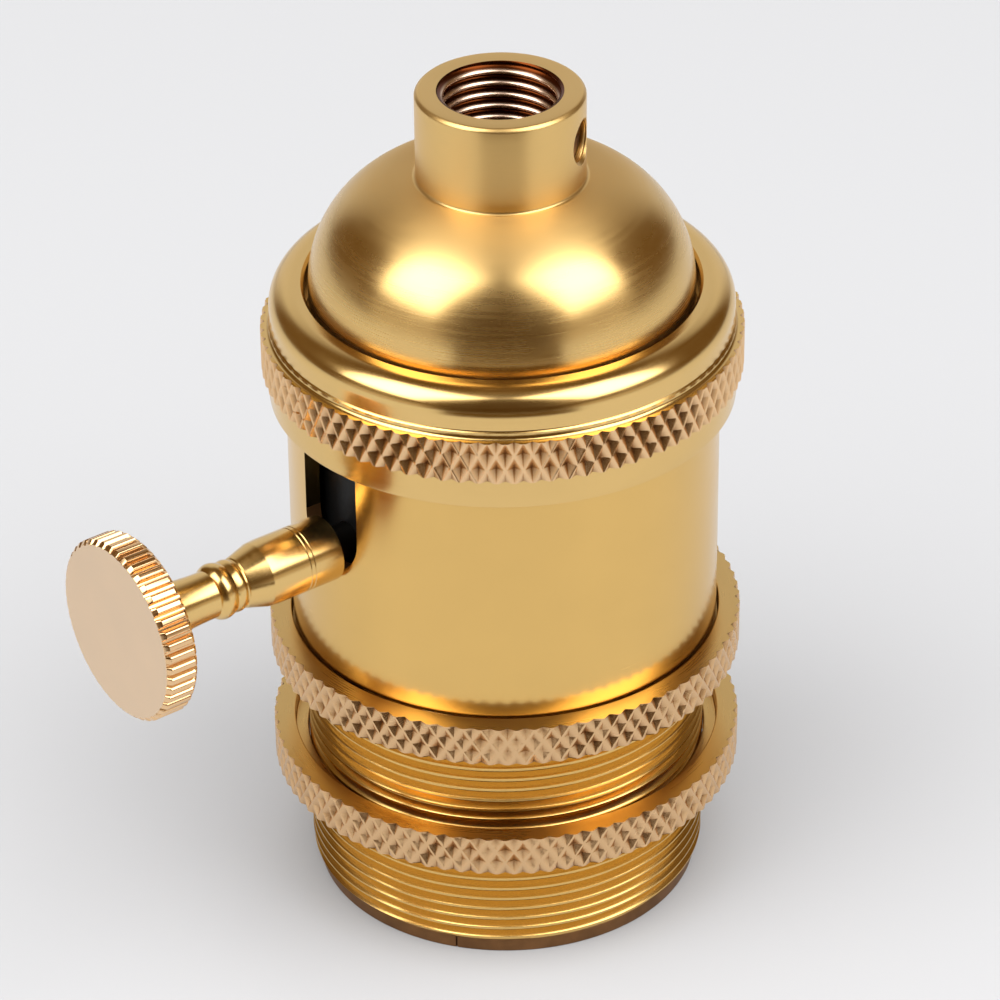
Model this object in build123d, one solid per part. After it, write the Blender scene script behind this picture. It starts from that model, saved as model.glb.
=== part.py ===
"""Brass lamp socket with a turn knob: E27 lamp thread at the foot, M10 x 1 stem thread in the neck.

Millimetres. The origin is on the lamp axis in the plane of the foot, +Z points up to the neck,
and the knob's stem points along -X.
"""
from build123d import *
from math import acos, ceil, cos, floor, pi, radians, sin, sqrt
import os

# Clearances
running_gap = 0.05        # a shaft in its bearing
thread_gap = 0.08         # between a ring's thread and the thread it turns on
fit_gap = 0.02            # a pressed or screwed piece in its hole
drop_in_gap = 0.1         # a piece dropped into a bore
working_gap = 0.3         # a moving piece beside a fixed one

# Lamp thread of the holder, a rolled brass shell
lamp_root_r = 13.3
lamp_thread_depth = 1.1
lamp_pitch = 3.62
lamp_turns = 5
lamp_mouth_z = 3.25       # foot to the lamp thread's mouth
lamp_mouth_h = 1.4
lamp_wall = 0.35
lamp_neck_h = 0.9
lamp_floor_room = 0.5     # lamp thread's floor around the housing's boss

# Outer shell: threaded tube below, plain barrel above, union thread at the top
lamp_room = 2.0           # lamp thread's root to the tube's bore
tube_wall = 1.25          # tube's bore to the crests of the shade thread
foot_step = 0.55          # shade thread in to the foot's lip
foot_lip_h = 1.15
foot_break = 0.2
shade_pitch = 1.0
shade_groove = 0.58       # depth of the shade thread
shade_crest = 0.12        # flat left on each turn
barrel_step = 1.0         # shade thread out to the barrel
barrel_wall = 1.35
barrel_edge = 0.3
barrel_h = 21.7
seat_rise = 0.5           # barrel's lower end to the inner shoulder that carries the switch
union_step = 0.35         # barrel in to the union thread
union_thread_h = 4.4
slot_w = 7.0

# Liner between the lamp thread and the shell
liner_wall = 0.4
liner_foot_z = 1.6

# Knob and its shaft
knob_rise = 11.6          # shell's inner shoulder to the knob's axis
shaft_r = 1.4
shaft_flat = 0.35
slot_floor_gap = 0.4      # under the shaft, where it crosses the slot
knob_r = 7.55
knob_t = 2.8
knob_teeth = 46
tooth_depth = 0.42
knob_edge = 0.35
knob_bore_depth = 8.0
barrel_stem_r = 2.72
stem_barrel_h = 6.35
stem_line = 0.12
stem_line_at = 2.7        # from the stem's inner end to its scribed pair of lines
stem_cone_h = 2.1
stem_taper = 0.62         # how far the cone narrows
stem_groove_w = 0.3
stem_groove_d = 0.18
stem_bead_w = 1.3
stem_bead_rise = 0.37     # beads above the neck
stem_neck_r = 1.95
stem_neck_h = 5.1
stem_flare = 0.5          # how far the neck widens towards the disc
stem_flare_fillet = 0.7

# Cap: flange, dome and neck in one turned piece
flange_step = 0.2         # union thread in to the flange's rim
flange_h = 1.4
dome_inset = 1.51         # flange's rim in to the dome's widest circle
dome_r = 9.5
dome_rise = 4.47          # flange underside to the dome's widest circle
cap_wall = 1.5
stem_bore_r = 4.46        # M10 x 1 minor radius
stem_mouth_chamfer = 0.55
neck_wall = 2.29
neck_h = 7.4
neck_break = 0.4
set_screw_r = 1.7
set_screw_drop = 3.5      # neck's top to the screw's axis
set_screw_mouth = 0.55    # how far the hole's mouth is opened out
set_screw_angle = -55.0
set_screw_slot = 0.5
set_screw_stand_back = 0.3
set_screw_sink = 0.8      # neck's side in to the screw's outer end

# Union ring that draws the cap down on the shell
ring_skirt = 0.9
ring_skirt_wall = 1.2
ring_band_h = 2.55
ring_ledge = 0.4
ring_shoulder_step = 0.16
ring_crown_r = 2.0
ring_crown_h = 3.2        # flange top to the crown's top
ring_lip_gap = 0.34       # round the dome
ring_lip_edge = 0.25
ring_line = 0.12
ring_line_rise = 0.55     # ledge to the scribed line

# Its knurl: sunk four-sided pockets between crossed ridges
ring_knurl_rise = 0.58    # ridges above the plain band
ring_knurl_h = 3.55
ring_pocket_depth = 0.47
ring_pocket_h = 2.66
ring_pocket_count = 86
ring_pocket_start = -0.17  # knurl's lower edge down to the first row's lower tips
ring_pocket_angle = -128.4

# Two shade rings on the threaded tube, with a shallower knurl
shade_ring_wall = 2.87
shade_ring_h = 3.35
shade_recess_h = 1.2
barrel_in_recess = 0.2    # how far the barrel stands in the upper ring's recess
lower_ring_z = 10.5
shade_pocket_depth = 0.3
shade_pocket_h = 2.16
shade_pocket_count = 85
shade_pocket_start = 0.06  # ring's lower edge up to the first row of crossings
upper_pocket_angle = -128.5
lower_pocket_angle = -127.2

# Switch housing: two black mouldings, split at the knob's axis
housing_gap = 0.6         # shell's bore in to the housing
spigot_margin = 0.1       # spigot beyond the lamp thread's root
spigot_h = 1.0
boss_inset = 3.4          # boss in from the through screws
boss_h = 0.4
seat_flange_h = 3.0
cover_h = 9.4
chamber_room = 0.8        # round the bridge contact
chamber_front_x = -6.0
chamber_end_room = 0.6    # behind the clip
bearing_h = 4.4
barrier_h = 3.0
barrier_t = 1.2
barrier_x = -2.6
barrier_inset = 3.4       # barrier's ends short of the through screws

# Rotor, its bridge contact, clip and index spring
cam_flats = 7.2
cam_corner = 1.2
cam_len = 5.0
hub_r = 2.6
hub_len = 3.2
bridge_r = 5.2
bridge_w = 4.6
bridge_t = 0.8
bridge_along_hub = 1.7
clip_r = 2.4
clip_t = 0.5
spring_w = 3.6
spring_t = 0.3
spring_len = 11.0
cam_lift_gap = 0.25

# Terminals and their screws
plate_t = 0.8
plate_w = 6.4
leg_w = 4.0
plate_reach = 4.0         # plates beyond the binding screws
arm_in = 2.6              # neutral arm, inside the through screw
arm_out = 2.8
arm_end_x = 2.6
terminal_gap = 1.3        # neutral plate to the barrier
binding_x = 8.5
binding_r = 1.3
binding_depth = 3.6
binding_head_r = 2.6
binding_head_h = 1.6
driver_slot_w = 0.6
driver_slot_d = 0.7
through_r = 1.25
through_head_r = 2.4
through_head_h = 1.5
nut_flats = 5.0
nut_h = 1.6
nut_room = 0.51           # nut's corners in from the lamp thread's crests
nut_stand_out = 0.5

# Centre contact, a folded spring strip on a rivet
strip_t = 0.4
strip_w = 5.0
strip_bend_r = 1.4
strip_front_x = -4.5
strip_reach = 2.5         # upper leg beyond the rivet
tongue_reach = 2.0
tongue_drop = 0.5
rivet_r = 1.2
rivet_head_r = 1.9
rivet_head_h = 0.6

# Radii that follow, from the lamp thread outwards
lamp_crest_r = lamp_root_r - lamp_thread_depth
tube_bore_r = lamp_root_r + lamp_room
shade_thread_r = tube_bore_r + tube_wall
shade_root_r = shade_thread_r - shade_groove
foot_lip_r = shade_thread_r - foot_step
barrel_r = shade_thread_r + barrel_step
barrel_bore_r = barrel_r - barrel_wall
union_thread_r = barrel_r - union_step
flange_r = union_thread_r - flange_step
dome_widest_r = flange_r - dome_inset
dome_centre_r = dome_widest_r - dome_r
neck_r = stem_bore_r + neck_wall
ring_band_r = barrel_r + drop_in_gap + ring_skirt_wall
ring_knurl_r = ring_band_r + ring_knurl_rise
ring_shoulder_r = ring_band_r - ring_shoulder_step
ring_lip_r = dome_widest_r + ring_lip_gap
shade_bore_r = shade_thread_r + thread_gap
shade_ring_r = shade_bore_r + shade_ring_wall
shade_recess_r = barrel_r + working_gap
housing_r = barrel_bore_r - housing_gap
spigot_r = lamp_root_r + spigot_margin
chamber_r = bridge_r + chamber_room
through_y = lamp_crest_r - nut_flats / 2 / cos(pi / 6) - nut_room
boss_r = through_y - boss_inset
lamp_floor_hole_r = boss_r + lamp_floor_room
set_screw_mouth_r = set_screw_r + set_screw_mouth
set_screw_len = neck_wall - set_screw_stand_back - set_screw_sink
stem_cone_small_r = barrel_stem_r - stem_taper
stem_groove_r = stem_cone_small_r - stem_groove_d
stem_bead_r = stem_neck_r + stem_bead_rise
stem_flare_r = stem_neck_r + stem_flare

# Heights that follow, from the foot upwards
lamp_floor_z = lamp_mouth_z + lamp_mouth_h + lamp_turns * lamp_pitch + lamp_neck_h
spigot_z = lamp_floor_z + lamp_wall
contact_z = spigot_z - boss_h
seat_z = spigot_z + spigot_h
barrel_low_z = seat_z - seat_rise
upper_ring_z = barrel_low_z + barrel_in_recess - shade_ring_h
knob_z = seat_z + knob_rise
slot_floor_z = knob_z - shaft_r - slot_floor_gap
cover_top_z = knob_z + cover_h
union_thread_z = barrel_low_z + barrel_h
shell_top_z = union_thread_z + union_thread_h
flange_top_z = shell_top_z + flange_h
dome_z = shell_top_z + dome_rise
neck_base_z = dome_z + sqrt(dome_r**2 - (neck_r - dome_centre_r)**2)
neck_top_z = neck_base_z + neck_h

# Places that follow along the knob's axis
stem_start = barrel_r + working_gap
stem_cone_at = stem_start + stem_barrel_h
stem_groove_at = stem_cone_at + stem_cone_h
stem_bead_at = stem_groove_at + stem_groove_w
stem_bead_end = stem_bead_at + 2 * stem_bead_w
stem_flare_end = stem_bead_end + stem_neck_h
disc_back = stem_flare_end + stem_flare_fillet
knob_reach = disc_back + knob_t
rotor_front_x = chamber_front_x + working_gap
cam_end_x = rotor_front_x + cam_len
rotor_back_x = cam_end_x + hub_len
bridge_x = cam_end_x + bridge_along_hub
chamber_back_x = rotor_back_x + clip_t + chamber_end_room
bearing_end_x = chamber_back_x + bearing_h
shaft_axis = Axis((0, 0, knob_z), (1, 0, 0))


def turned(profile):
    """A solid of revolution about the lamp axis; the profile is drawn as radius, height."""
    return revolve(Plane.XZ * make_face(profile), axis=Axis.Z)


def turned_on_shaft(profile):
    """A solid of revolution about the knob's axis; the profile is drawn as x, radius."""
    return revolve(Pos(0, 0, knob_z) * make_face(profile), axis=shaft_axis)


def outline(*points):
    return Polyline(*points, close=True)


def along_x(radius, start, end):
    """A round bar on the knob's axis from one x to another."""
    return turned_on_shaft(outline((start, 0), (end, 0), (end, radius), (start, radius)))


def upright(radius, low, high, x=0.0, y=0.0):
    return Pos(x, y, (low + high) / 2) * Cylinder(radius, high - low)


def block(x_span, y_span, z_span):
    spans = (x_span, y_span, z_span)
    middle = [(low + high) / 2 for low, high in spans]
    sizes = [high - low for low, high in spans]
    return Pos(*middle) * Box(*sizes)


def screw_slot(width, depth, top, reach, x, y):
    """The driver slot across a screw head whose top face is at the height given."""
    return block((x - reach, x + reach), (y - width / 2, y + width / 2), (top - depth, top + depth))


def shade_thread(low, high):
    """Profile of the shade thread, whose turns are drawn as closed grooves."""
    points = []
    turns = floor((high - low) / shade_pitch)
    for turn in range(turns):
        crest_z = low + turn * shade_pitch
        points.append((shade_thread_r, crest_z))
        points.append((shade_thread_r, crest_z + shade_crest))
        points.append((shade_root_r, crest_z + (shade_pitch + shade_crest) / 2))
    points.append((shade_thread_r, low + turns * shade_pitch))
    return points


def shell_body():
    """Threaded tube, barrel and union thread, with the slot that the knob's shaft drops into."""
    body = turned(outline(
        (tube_bore_r, 0),
        (foot_lip_r - foot_break, 0),
        (foot_lip_r, foot_break),
        (foot_lip_r, foot_lip_h),
        *shade_thread(foot_lip_h + shade_thread_r - foot_lip_r, barrel_low_z),
        (shade_thread_r, barrel_low_z),
        (barrel_r - barrel_edge, barrel_low_z),
        (barrel_r, barrel_low_z + barrel_edge),
        (barrel_r, union_thread_z),
        (union_thread_r, union_thread_z),
        (union_thread_r, shell_top_z),
        (barrel_bore_r, shell_top_z),
        (barrel_bore_r, seat_z),
        (tube_bore_r, seat_z),
    ))
    half = slot_w / 2
    arch_z = slot_floor_z + half
    slot_round = Pos(0, 0, arch_z) * Rot(0, -90, 0) * Cylinder(
        half, 2 * barrel_r, align=(Align.CENTER, Align.CENTER, Align.MIN))
    slot_open = block((-2 * barrel_r, 0), (-half, half), (arch_z, shell_top_z + half))
    return body - slot_round - slot_open


def cap_dome():
    """Flange, spun dome and neck, hollow for the wires, with the stem thread and the screw hole."""
    inner_r = dome_r - cap_wall
    mouth_z = neck_top_z - stem_mouth_chamfer
    meet = acos((neck_r - dome_centre_r) / dome_r)
    inner_meet = acos((stem_bore_r - dome_centre_r) / inner_r)
    bore_low_z = dome_z + inner_r * sin(inner_meet)
    dome = ThreePointArc(
        (neck_r, neck_base_z),
        (dome_centre_r + dome_r * cos(meet / 2), dome_z + dome_r * sin(meet / 2)),
        (dome_widest_r, dome_z))
    skirt = Polyline(
        (dome_widest_r, dome_z),
        (dome_widest_r, flange_top_z),
        (flange_r, flange_top_z),
        (flange_r, shell_top_z),
        (dome_widest_r - cap_wall, shell_top_z),
        (dome_widest_r - cap_wall, dome_z))
    hollow = ThreePointArc(
        (dome_widest_r - cap_wall, dome_z),
        (dome_centre_r + inner_r * cos(inner_meet / 2), dome_z + inner_r * sin(inner_meet / 2)),
        (stem_bore_r, bore_low_z))
    neck = Polyline(
        (stem_bore_r, bore_low_z),
        (stem_bore_r, mouth_z),
        (stem_bore_r + stem_mouth_chamfer, neck_top_z),
        (neck_r - neck_break, neck_top_z),
        (neck_r, neck_top_z - neck_break),
        (neck_r, neck_base_z))
    cap = turned(dome + skirt + hollow + neck)
    return cap - set_screw_frame() * set_screw_hole()


def set_screw_frame():
    """A frame on the neck's axis whose +Z runs out along the set screw."""
    return Pos(0, 0, neck_top_z - set_screw_drop) * Rot(0, 0, set_screw_angle) * Rot(0, 90, 0)


def set_screw_hole():
    sink = set_screw_mouth_r - set_screw_r
    mouth = neck_r + sink / 2
    return revolve(Plane.XZ * make_face(outline(
        (0, 0),
        (set_screw_r, 0),
        (set_screw_r, mouth - sink),
        (set_screw_mouth_r, mouth),
        (set_screw_mouth_r, neck_r + sink),
        (0, neck_r + sink))), axis=Axis.Z)


def set_screw():
    """A slotted grub screw, drawn back so that the stem thread stays clear."""
    tip = stem_bore_r + set_screw_stand_back
    radius = set_screw_r - fit_gap
    blank = Pos(0, 0, tip) * Cylinder(radius, set_screw_len, align=(Align.CENTER, Align.CENTER, Align.MIN))
    top = tip + set_screw_len
    slot = block((-set_screw_slot / 2, set_screw_slot / 2), (-2 * radius, 2 * radius),
                 (top - set_screw_slot, top + set_screw_slot))
    return set_screw_frame() * (blank - slot)


def clipped(points, level, keep_above):
    """The part of a flat polygon above or below a level."""
    side = 1 if keep_above else -1
    kept = []
    for start, end in zip(points, points[1:] + points[:1]):
        start_h = side * (start[2] - level)
        end_h = side * (end[2] - level)
        if start_h >= 0:
            kept.append(start)
        if start_h * end_h < 0:
            share = start_h / (start_h - end_h)
            kept.append(tuple(a + share * (b - a) for a, b in zip(start[:2], end[:2])) + (level,))
    return kept


def on_circle(radius, turn, height):
    return radius * cos(turn), radius * sin(turn), height


def pocket_facets(crest_r, depth, turn, height, half_step, half_h):
    """The four flat sides of one sunk pocket, from its middle to its corners on the ridges."""
    middle = on_circle(crest_r - depth, turn, height)
    corners = [
        on_circle(crest_r, turn + half_step, height),
        on_circle(crest_r, turn, height + half_h),
        on_circle(crest_r, turn - half_step, height),
        on_circle(crest_r, turn, height - half_h)]
    return [[middle, near, far] for near, far in zip(corners, corners[1:] + corners[:1])]


def knurled_log(crest_r, depth, low, high, count, pocket_h, start_z, angle):
    """A round bar, between two levels, whose side is staggered rows of sunk pockets."""
    half_step = pi / count
    half_h = pocket_h / 2
    first_row = floor((low - start_z) / half_h)
    last_row = ceil((high - start_z) / half_h)
    facets = []
    for row in range(first_row, last_row + 1):
        for column in range(count):
            turn = radians(angle) + (2 * column + row % 2) * half_step
            for side in pocket_facets(crest_r, depth, turn, start_z + row * half_h, half_step, half_h):
                facets.append(clipped(clipped(side, low, True), high, False))
    facets = [facet for facet in facets if len(facet) > 2]
    faces = [Face(Wire.make_polygon(facet)) for facet in facets]
    for level in (low, high):
        rim = [[point for point in facet if point[2] == level] for facet in facets]
        faces.append(Face(Wire([Edge.make_line(*ends) for ends in rim if len(ends) == 2])))
    return Solid(Shell(faces))


def union_ring():
    """Crowned ring with a knurled band; its shoulder bears down on the cap's flange."""
    low = union_thread_z - ring_skirt
    knurl_low = low + ring_band_h
    knurl_top = knurl_low + ring_knurl_h
    under_z = flange_top_z + fit_gap
    crown_top = flange_top_z + ring_crown_h
    crown_z = crown_top - ring_crown_r
    crown_centre_r = ring_shoulder_r - ring_crown_r
    line_z = knurl_top + ring_line_rise
    bore_r = union_thread_r + thread_gap
    skirt_r = barrel_r + drop_in_gap
    skirt_top = union_thread_z + drop_in_gap
    ledge_r = ring_shoulder_r + ring_ledge
    band = Polyline(
        (ring_band_r, low),
        (ring_band_r, knurl_top),
        (ledge_r, knurl_top))
    ledge = ThreePointArc(
        (ledge_r, knurl_top),
        (ring_shoulder_r + ring_ledge * (1 - cos(pi / 4)), knurl_top + ring_ledge * (1 - sin(pi / 4))),
        (ring_shoulder_r, knurl_top + ring_ledge))
    shoulder = Polyline(
        (ring_shoulder_r, knurl_top + ring_ledge),
        (ring_shoulder_r, line_z),
        (ring_shoulder_r - ring_line, line_z + ring_line),
        (ring_shoulder_r, line_z + 2 * ring_line),
        (ring_shoulder_r, crown_z))
    crown = ThreePointArc(
        (ring_shoulder_r, crown_z),
        (crown_centre_r + ring_crown_r * cos(pi / 4), crown_z + ring_crown_r * sin(pi / 4)),
        (crown_centre_r, crown_top))
    inside = Polyline(
        (crown_centre_r, crown_top),
        (ring_lip_r + ring_lip_edge, crown_top),
        (ring_lip_r, crown_top - ring_lip_edge),
        (ring_lip_r, under_z),
        (bore_r, under_z),
        (bore_r, skirt_top),
        (skirt_r, skirt_top),
        (skirt_r, low),
        (ring_band_r, low))
    blank = turned(band + ledge + shoulder + crown + inside)
    knurl = knurled_log(ring_knurl_r, ring_pocket_depth, knurl_low, knurl_top, ring_pocket_count,
                        ring_pocket_h, knurl_low + ring_pocket_start + ring_pocket_h / 2, ring_pocket_angle)
    return blank + (knurl - upright((bore_r + ring_band_r) / 2, knurl_low, knurl_top))


def shade_ring(low, pocket_angle):
    """A knurled ring on the shade thread, recessed on top to clear the barrel's end."""
    top = low + shade_ring_h
    blank = knurled_log(shade_ring_r, shade_pocket_depth, low, top, shade_pocket_count, shade_pocket_h,
                        low + shade_pocket_start, pocket_angle)
    return blank - upright(shade_bore_r, low, top) - upright(shade_recess_r, top - shade_recess_h, top)


def toothed_face():
    """The straight knurl's outline: rounded crests between narrow roots."""
    root_r = knob_r - tooth_depth
    crest_edge_r = knob_r - tooth_depth / 4
    rise = ((0.0, root_r), (0.16, root_r), (0.3, crest_edge_r))
    fall = ((0.45, knob_r), (0.71, knob_r), (0.86, crest_edge_r))
    points = []
    for tooth in range(knob_teeth):
        for share, radius in rise + fall:
            angle = 2 * pi * (tooth + share) / knob_teeth
            points.append((radius * cos(angle), radius * sin(angle)))
    return make_face(Polyline(*points, close=True))


def knob():
    """Knurled disc and turned stem in one piece, bored for the shaft."""
    teeth = Pos(-disc_back, 0, knob_z) * Rot(0, -90, 0) * extrude(toothed_face(), knob_t)
    disc = turned_on_shaft(outline(
        (-disc_back, 0),
        (-disc_back, knob_r - knob_edge),
        (-disc_back - knob_edge, knob_r),
        (-knob_reach + knob_edge, knob_r),
        (-knob_reach, knob_r - knob_edge),
        (-knob_reach, 0)))
    line_at = stem_start + stem_line_at
    barrel = Polyline(
        (-stem_start, 0),
        (-stem_start, barrel_stem_r - stem_line),
        (-stem_start - stem_line, barrel_stem_r),
        (-line_at, barrel_stem_r),
        (-line_at - stem_line, barrel_stem_r - stem_line),
        (-line_at - 2 * stem_line, barrel_stem_r),
        (-line_at - 4 * stem_line, barrel_stem_r),
        (-line_at - 5 * stem_line, barrel_stem_r - stem_line),
        (-line_at - 6 * stem_line, barrel_stem_r),
        (-stem_cone_at, barrel_stem_r),
        (-stem_groove_at, stem_cone_small_r),
        (-stem_groove_at, stem_groove_r),
        (-stem_bead_at, stem_groove_r))
    first_bead = ThreePointArc(
        (-stem_bead_at, stem_groove_r),
        (-stem_bead_at - stem_bead_w / 2, stem_bead_r),
        (-stem_bead_at - stem_bead_w, stem_bead_r - stem_line))
    second_bead = ThreePointArc(
        (-stem_bead_at - stem_bead_w, stem_bead_r - stem_line),
        (-stem_bead_end + stem_bead_w / 2, stem_bead_r),
        (-stem_bead_end, stem_neck_r))
    neck = ThreePointArc(
        (-stem_bead_end, stem_neck_r),
        (-(stem_bead_end + stem_flare_end) / 2, (3 * stem_neck_r + stem_flare_r) / 4),
        (-stem_flare_end, stem_flare_r))
    foot = Polyline(
        (-stem_flare_end, stem_flare_r),
        (-disc_back, stem_flare_r + stem_flare_fillet),
        (-disc_back, 0),
        (-stem_start, 0))
    stem = turned_on_shaft(barrel + first_bead + second_bead + neck + foot)
    hole = along_x(shaft_r + fit_gap, -stem_start - knob_bore_depth, -stem_start + working_gap)
    return (teeth & disc) + stem - hole


def shaft_cut(oversize):
    """The flat on the shaft, or with an oversize the flat in the rotor's bore."""
    flat_z = knob_z + shaft_r - shaft_flat + oversize
    return block((rotor_front_x, bearing_end_x), (-knob_r, knob_r), (flat_z, flat_z + shaft_r))


def switch_shaft():
    """Brass rod from inside the knob to the back bearing, with a flat that drives the rotor."""
    rod = along_x(shaft_r, -stem_start - knob_bore_depth + working_gap, bearing_end_x - working_gap)
    return rod - shaft_cut(0)


def switch_rotor():
    """Square cam that the index spring stops at each quarter turn, and the hub of the bridge."""
    cam_face = Sketch() + fillet(Rectangle(cam_flats, cam_flats).vertices(), cam_corner)
    cam = Pos(rotor_front_x, 0, knob_z) * Rot(0, 90, 0) * extrude(cam_face, cam_len)
    hub = along_x(hub_r, cam_end_x, rotor_back_x)
    bore = along_x(shaft_r + fit_gap, rotor_front_x, rotor_back_x) - shaft_cut(fit_gap)
    return cam + hub - bore


def rotor_contact():
    """Sheet brass bridge across the hub; at rest it lies level, which is off."""
    wings = Circle(bridge_r) & Rectangle(bridge_w, 2 * bridge_r)
    hole = Circle(hub_r + fit_gap)
    wings_and_web = wings + Circle(hub_r + bridge_t)
    return Pos(bridge_x - bridge_t / 2, 0, knob_z) * Rot(0, 90, 0) * extrude(wings_and_web - hole, bridge_t)


def shaft_clip():
    """Steel snap ring behind the rotor."""
    clip = along_x(clip_r, rotor_back_x, rotor_back_x + clip_t)
    bore = along_x(shaft_r + fit_gap, rotor_back_x, rotor_back_x + clip_t) - shaft_cut(fit_gap)
    return clip - bore


def shaft_space():
    """The chamber for the rotor and the two bearings, cut from both mouldings."""
    chamber = along_x(chamber_r, chamber_front_x, chamber_back_x)
    bearings = along_x(shaft_r + running_gap, -2 * housing_r, bearing_end_x)
    return chamber + bearings


def through_holes():
    radius = through_r + fit_gap
    return [upright(radius, 0, neck_top_z, 0, side * through_y) for side in (-1, 1)]


def switch_body():
    """Lower moulding: seat flange, spigot for the lamp thread, half the chamber."""
    body = upright(housing_r, seat_z, knob_z)
    body += upright(barrel_bore_r - drop_in_gap, seat_z, seat_z + seat_flange_h)
    body += upright(spigot_r, spigot_z, seat_z)
    body += upright(boss_r, contact_z, spigot_z)
    body -= shaft_space()
    body -= upright(rivet_r + fit_gap, contact_z, knob_z, bridge_x)
    for hole in through_holes():
        body -= hole
    return body


def switch_cover():
    """Upper moulding: the other half of the chamber, seats and a barrier for the terminals."""
    cover = upright(housing_r, knob_z, cover_top_z)
    cover += upright(through_head_r + fit_gap, cover_top_z, cover_top_z + plate_t, 0, -through_y)
    barrier_half = through_y - barrier_inset
    cover += block((barrier_x - barrier_t / 2, barrier_x + barrier_t / 2), (-barrier_half, barrier_half),
                   (cover_top_z, cover_top_z + barrier_h))
    cover -= shaft_space()
    leg = bridge_t / 2
    cover -= block((bridge_x - leg, bridge_x + leg), (-leg_w / 2, leg_w / 2), (knob_z + hub_r, cover_top_z))
    cover -= spring_space()
    for side in (-1, 1):
        depth = cover_top_z - binding_depth - working_gap
        cover -= upright(binding_r + fit_gap, depth, cover_top_z, side * binding_x)
    for hole in through_holes():
        cover -= hole
    return cover


def spring_low_z():
    """Underside of the index spring, where the cam's corners lift it."""
    half = cam_flats / 2
    corner_r = (half - cam_corner) * sqrt(2) + cam_corner
    return knob_z + corner_r + cam_lift_gap


def spring_space():
    middle = rotor_front_x + cam_len / 2
    low = spring_low_z()
    return block((middle - spring_w / 2, middle + spring_w / 2), (-spring_len / 2, spring_len / 2),
                 (low, low + spring_t))


def index_spring():
    """Flat steel leaf held at both ends in the cover, over the cam."""
    return spring_space()


def line_terminal():
    """Folded brass plate under one binding screw, whose leg is the chamber's upper contact."""
    leg = bridge_t / 2
    plate = block((bridge_x - leg, binding_x + plate_reach), (-plate_w / 2, plate_w / 2),
                  (cover_top_z, cover_top_z + plate_t))
    tip = knob_z + bridge_r + working_gap
    plate += block((bridge_x - leg, bridge_x + leg), (-leg_w / 2, leg_w / 2), (tip, cover_top_z))
    return plate - upright(binding_r + fit_gap, cover_top_z, cover_top_z + plate_t, binding_x)


def neutral_terminal():
    """Flat brass plate from the other binding screw to the through screw of the lamp thread."""
    span = (cover_top_z, cover_top_z + plate_t)
    outer_x = -binding_x - plate_reach
    inner_x = barrier_x - barrier_t / 2 - terminal_gap
    plate = block((outer_x, inner_x), (-plate_w / 2, through_y + arm_out), span)
    plate += block((outer_x, arm_end_x), (through_y - arm_in, through_y + arm_out), span)
    plate -= upright(binding_r + fit_gap, *span, -binding_x)
    plate -= upright(through_r + fit_gap, *span, 0, through_y)
    corner = housing_r - plate_t
    return plate & upright(corner, *span)


def binding_screws():
    """Two slotted screws that clamp the wires."""
    low = cover_top_z - binding_depth
    head_z = cover_top_z + plate_t
    screws = []
    for side in (-1, 1):
        x = side * binding_x
        screw = upright(binding_r, low, head_z, x)
        screw += upright(binding_head_r, head_z, head_z + binding_head_h, x)
        screw -= screw_slot(driver_slot_w, driver_slot_d, head_z + binding_head_h, 2 * binding_head_r, x, 0)
        screws.append(screw)
    return Compound(children=screws)


def through_screws():
    """Two long screws that clamp both mouldings and the lamp thread's floor together."""
    low = lamp_floor_z - nut_h - nut_stand_out
    head_z = cover_top_z + plate_t
    screws = []
    for side in (-1, 1):
        y = side * through_y
        screw = upright(through_r, low, head_z, 0, y)
        screw += upright(through_head_r, head_z, head_z + through_head_h, 0, y)
        screw -= screw_slot(driver_slot_w, driver_slot_d, head_z + through_head_h, 2 * through_head_r, 0, y)
        screws.append(screw)
    return Compound(children=screws)


def clamp_nuts():
    """A hexagon nut on each long screw, under the lamp thread's floor."""
    face = RegularPolygon(nut_flats / 2, 6, major_radius=False) - Circle(through_r + fit_gap)
    nut = extrude(face, nut_h)
    return Compound(children=[Pos(0, side * through_y, lamp_floor_z - nut_h) * nut for side in (-1, 1)])


def rolled_wave(offset, start_z, end_z):
    """One side of the rolled lamp thread: an arc out and an arc in for each turn."""
    middle_r = (lamp_crest_r + lamp_root_r) / 2 + offset
    depth = (lamp_root_r - lamp_crest_r) / 2
    half = (end_z - start_z) / (2 * lamp_turns)
    wave = Curve()
    for step in range(2 * lamp_turns):
        low = start_z + step * half
        side = depth if step % 2 else -depth
        wave += ThreePointArc((middle_r, low), (middle_r + side, low + half / 2), (middle_r, low + half))
    return wave


def screw_shell():
    """Rolled brass lamp thread with a plain mouth, and a floor that the long screws clamp."""
    middle_r = (lamp_crest_r + lamp_root_r) / 2
    outer_r = middle_r + lamp_wall
    wave_top = lamp_floor_z - lamp_neck_h
    wave_low = wave_top - lamp_turns * lamp_pitch
    mouth_z = wave_low - lamp_mouth_h
    mouth = Polyline(
        (middle_r, wave_low),
        (lamp_root_r, mouth_z),
        (lamp_root_r + lamp_wall, mouth_z),
        (outer_r, wave_low))
    floor = Polyline(
        (outer_r, wave_top),
        (outer_r, spigot_z),
        (lamp_floor_hole_r, spigot_z),
        (lamp_floor_hole_r, lamp_floor_z),
        (middle_r, lamp_floor_z),
        (middle_r, wave_top))
    waves = rolled_wave(0, wave_low, wave_top) + rolled_wave(lamp_wall, wave_low, wave_top)
    shell = turned(waves + mouth + floor)
    for hole in through_holes():
        shell -= hole
    return shell


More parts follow.
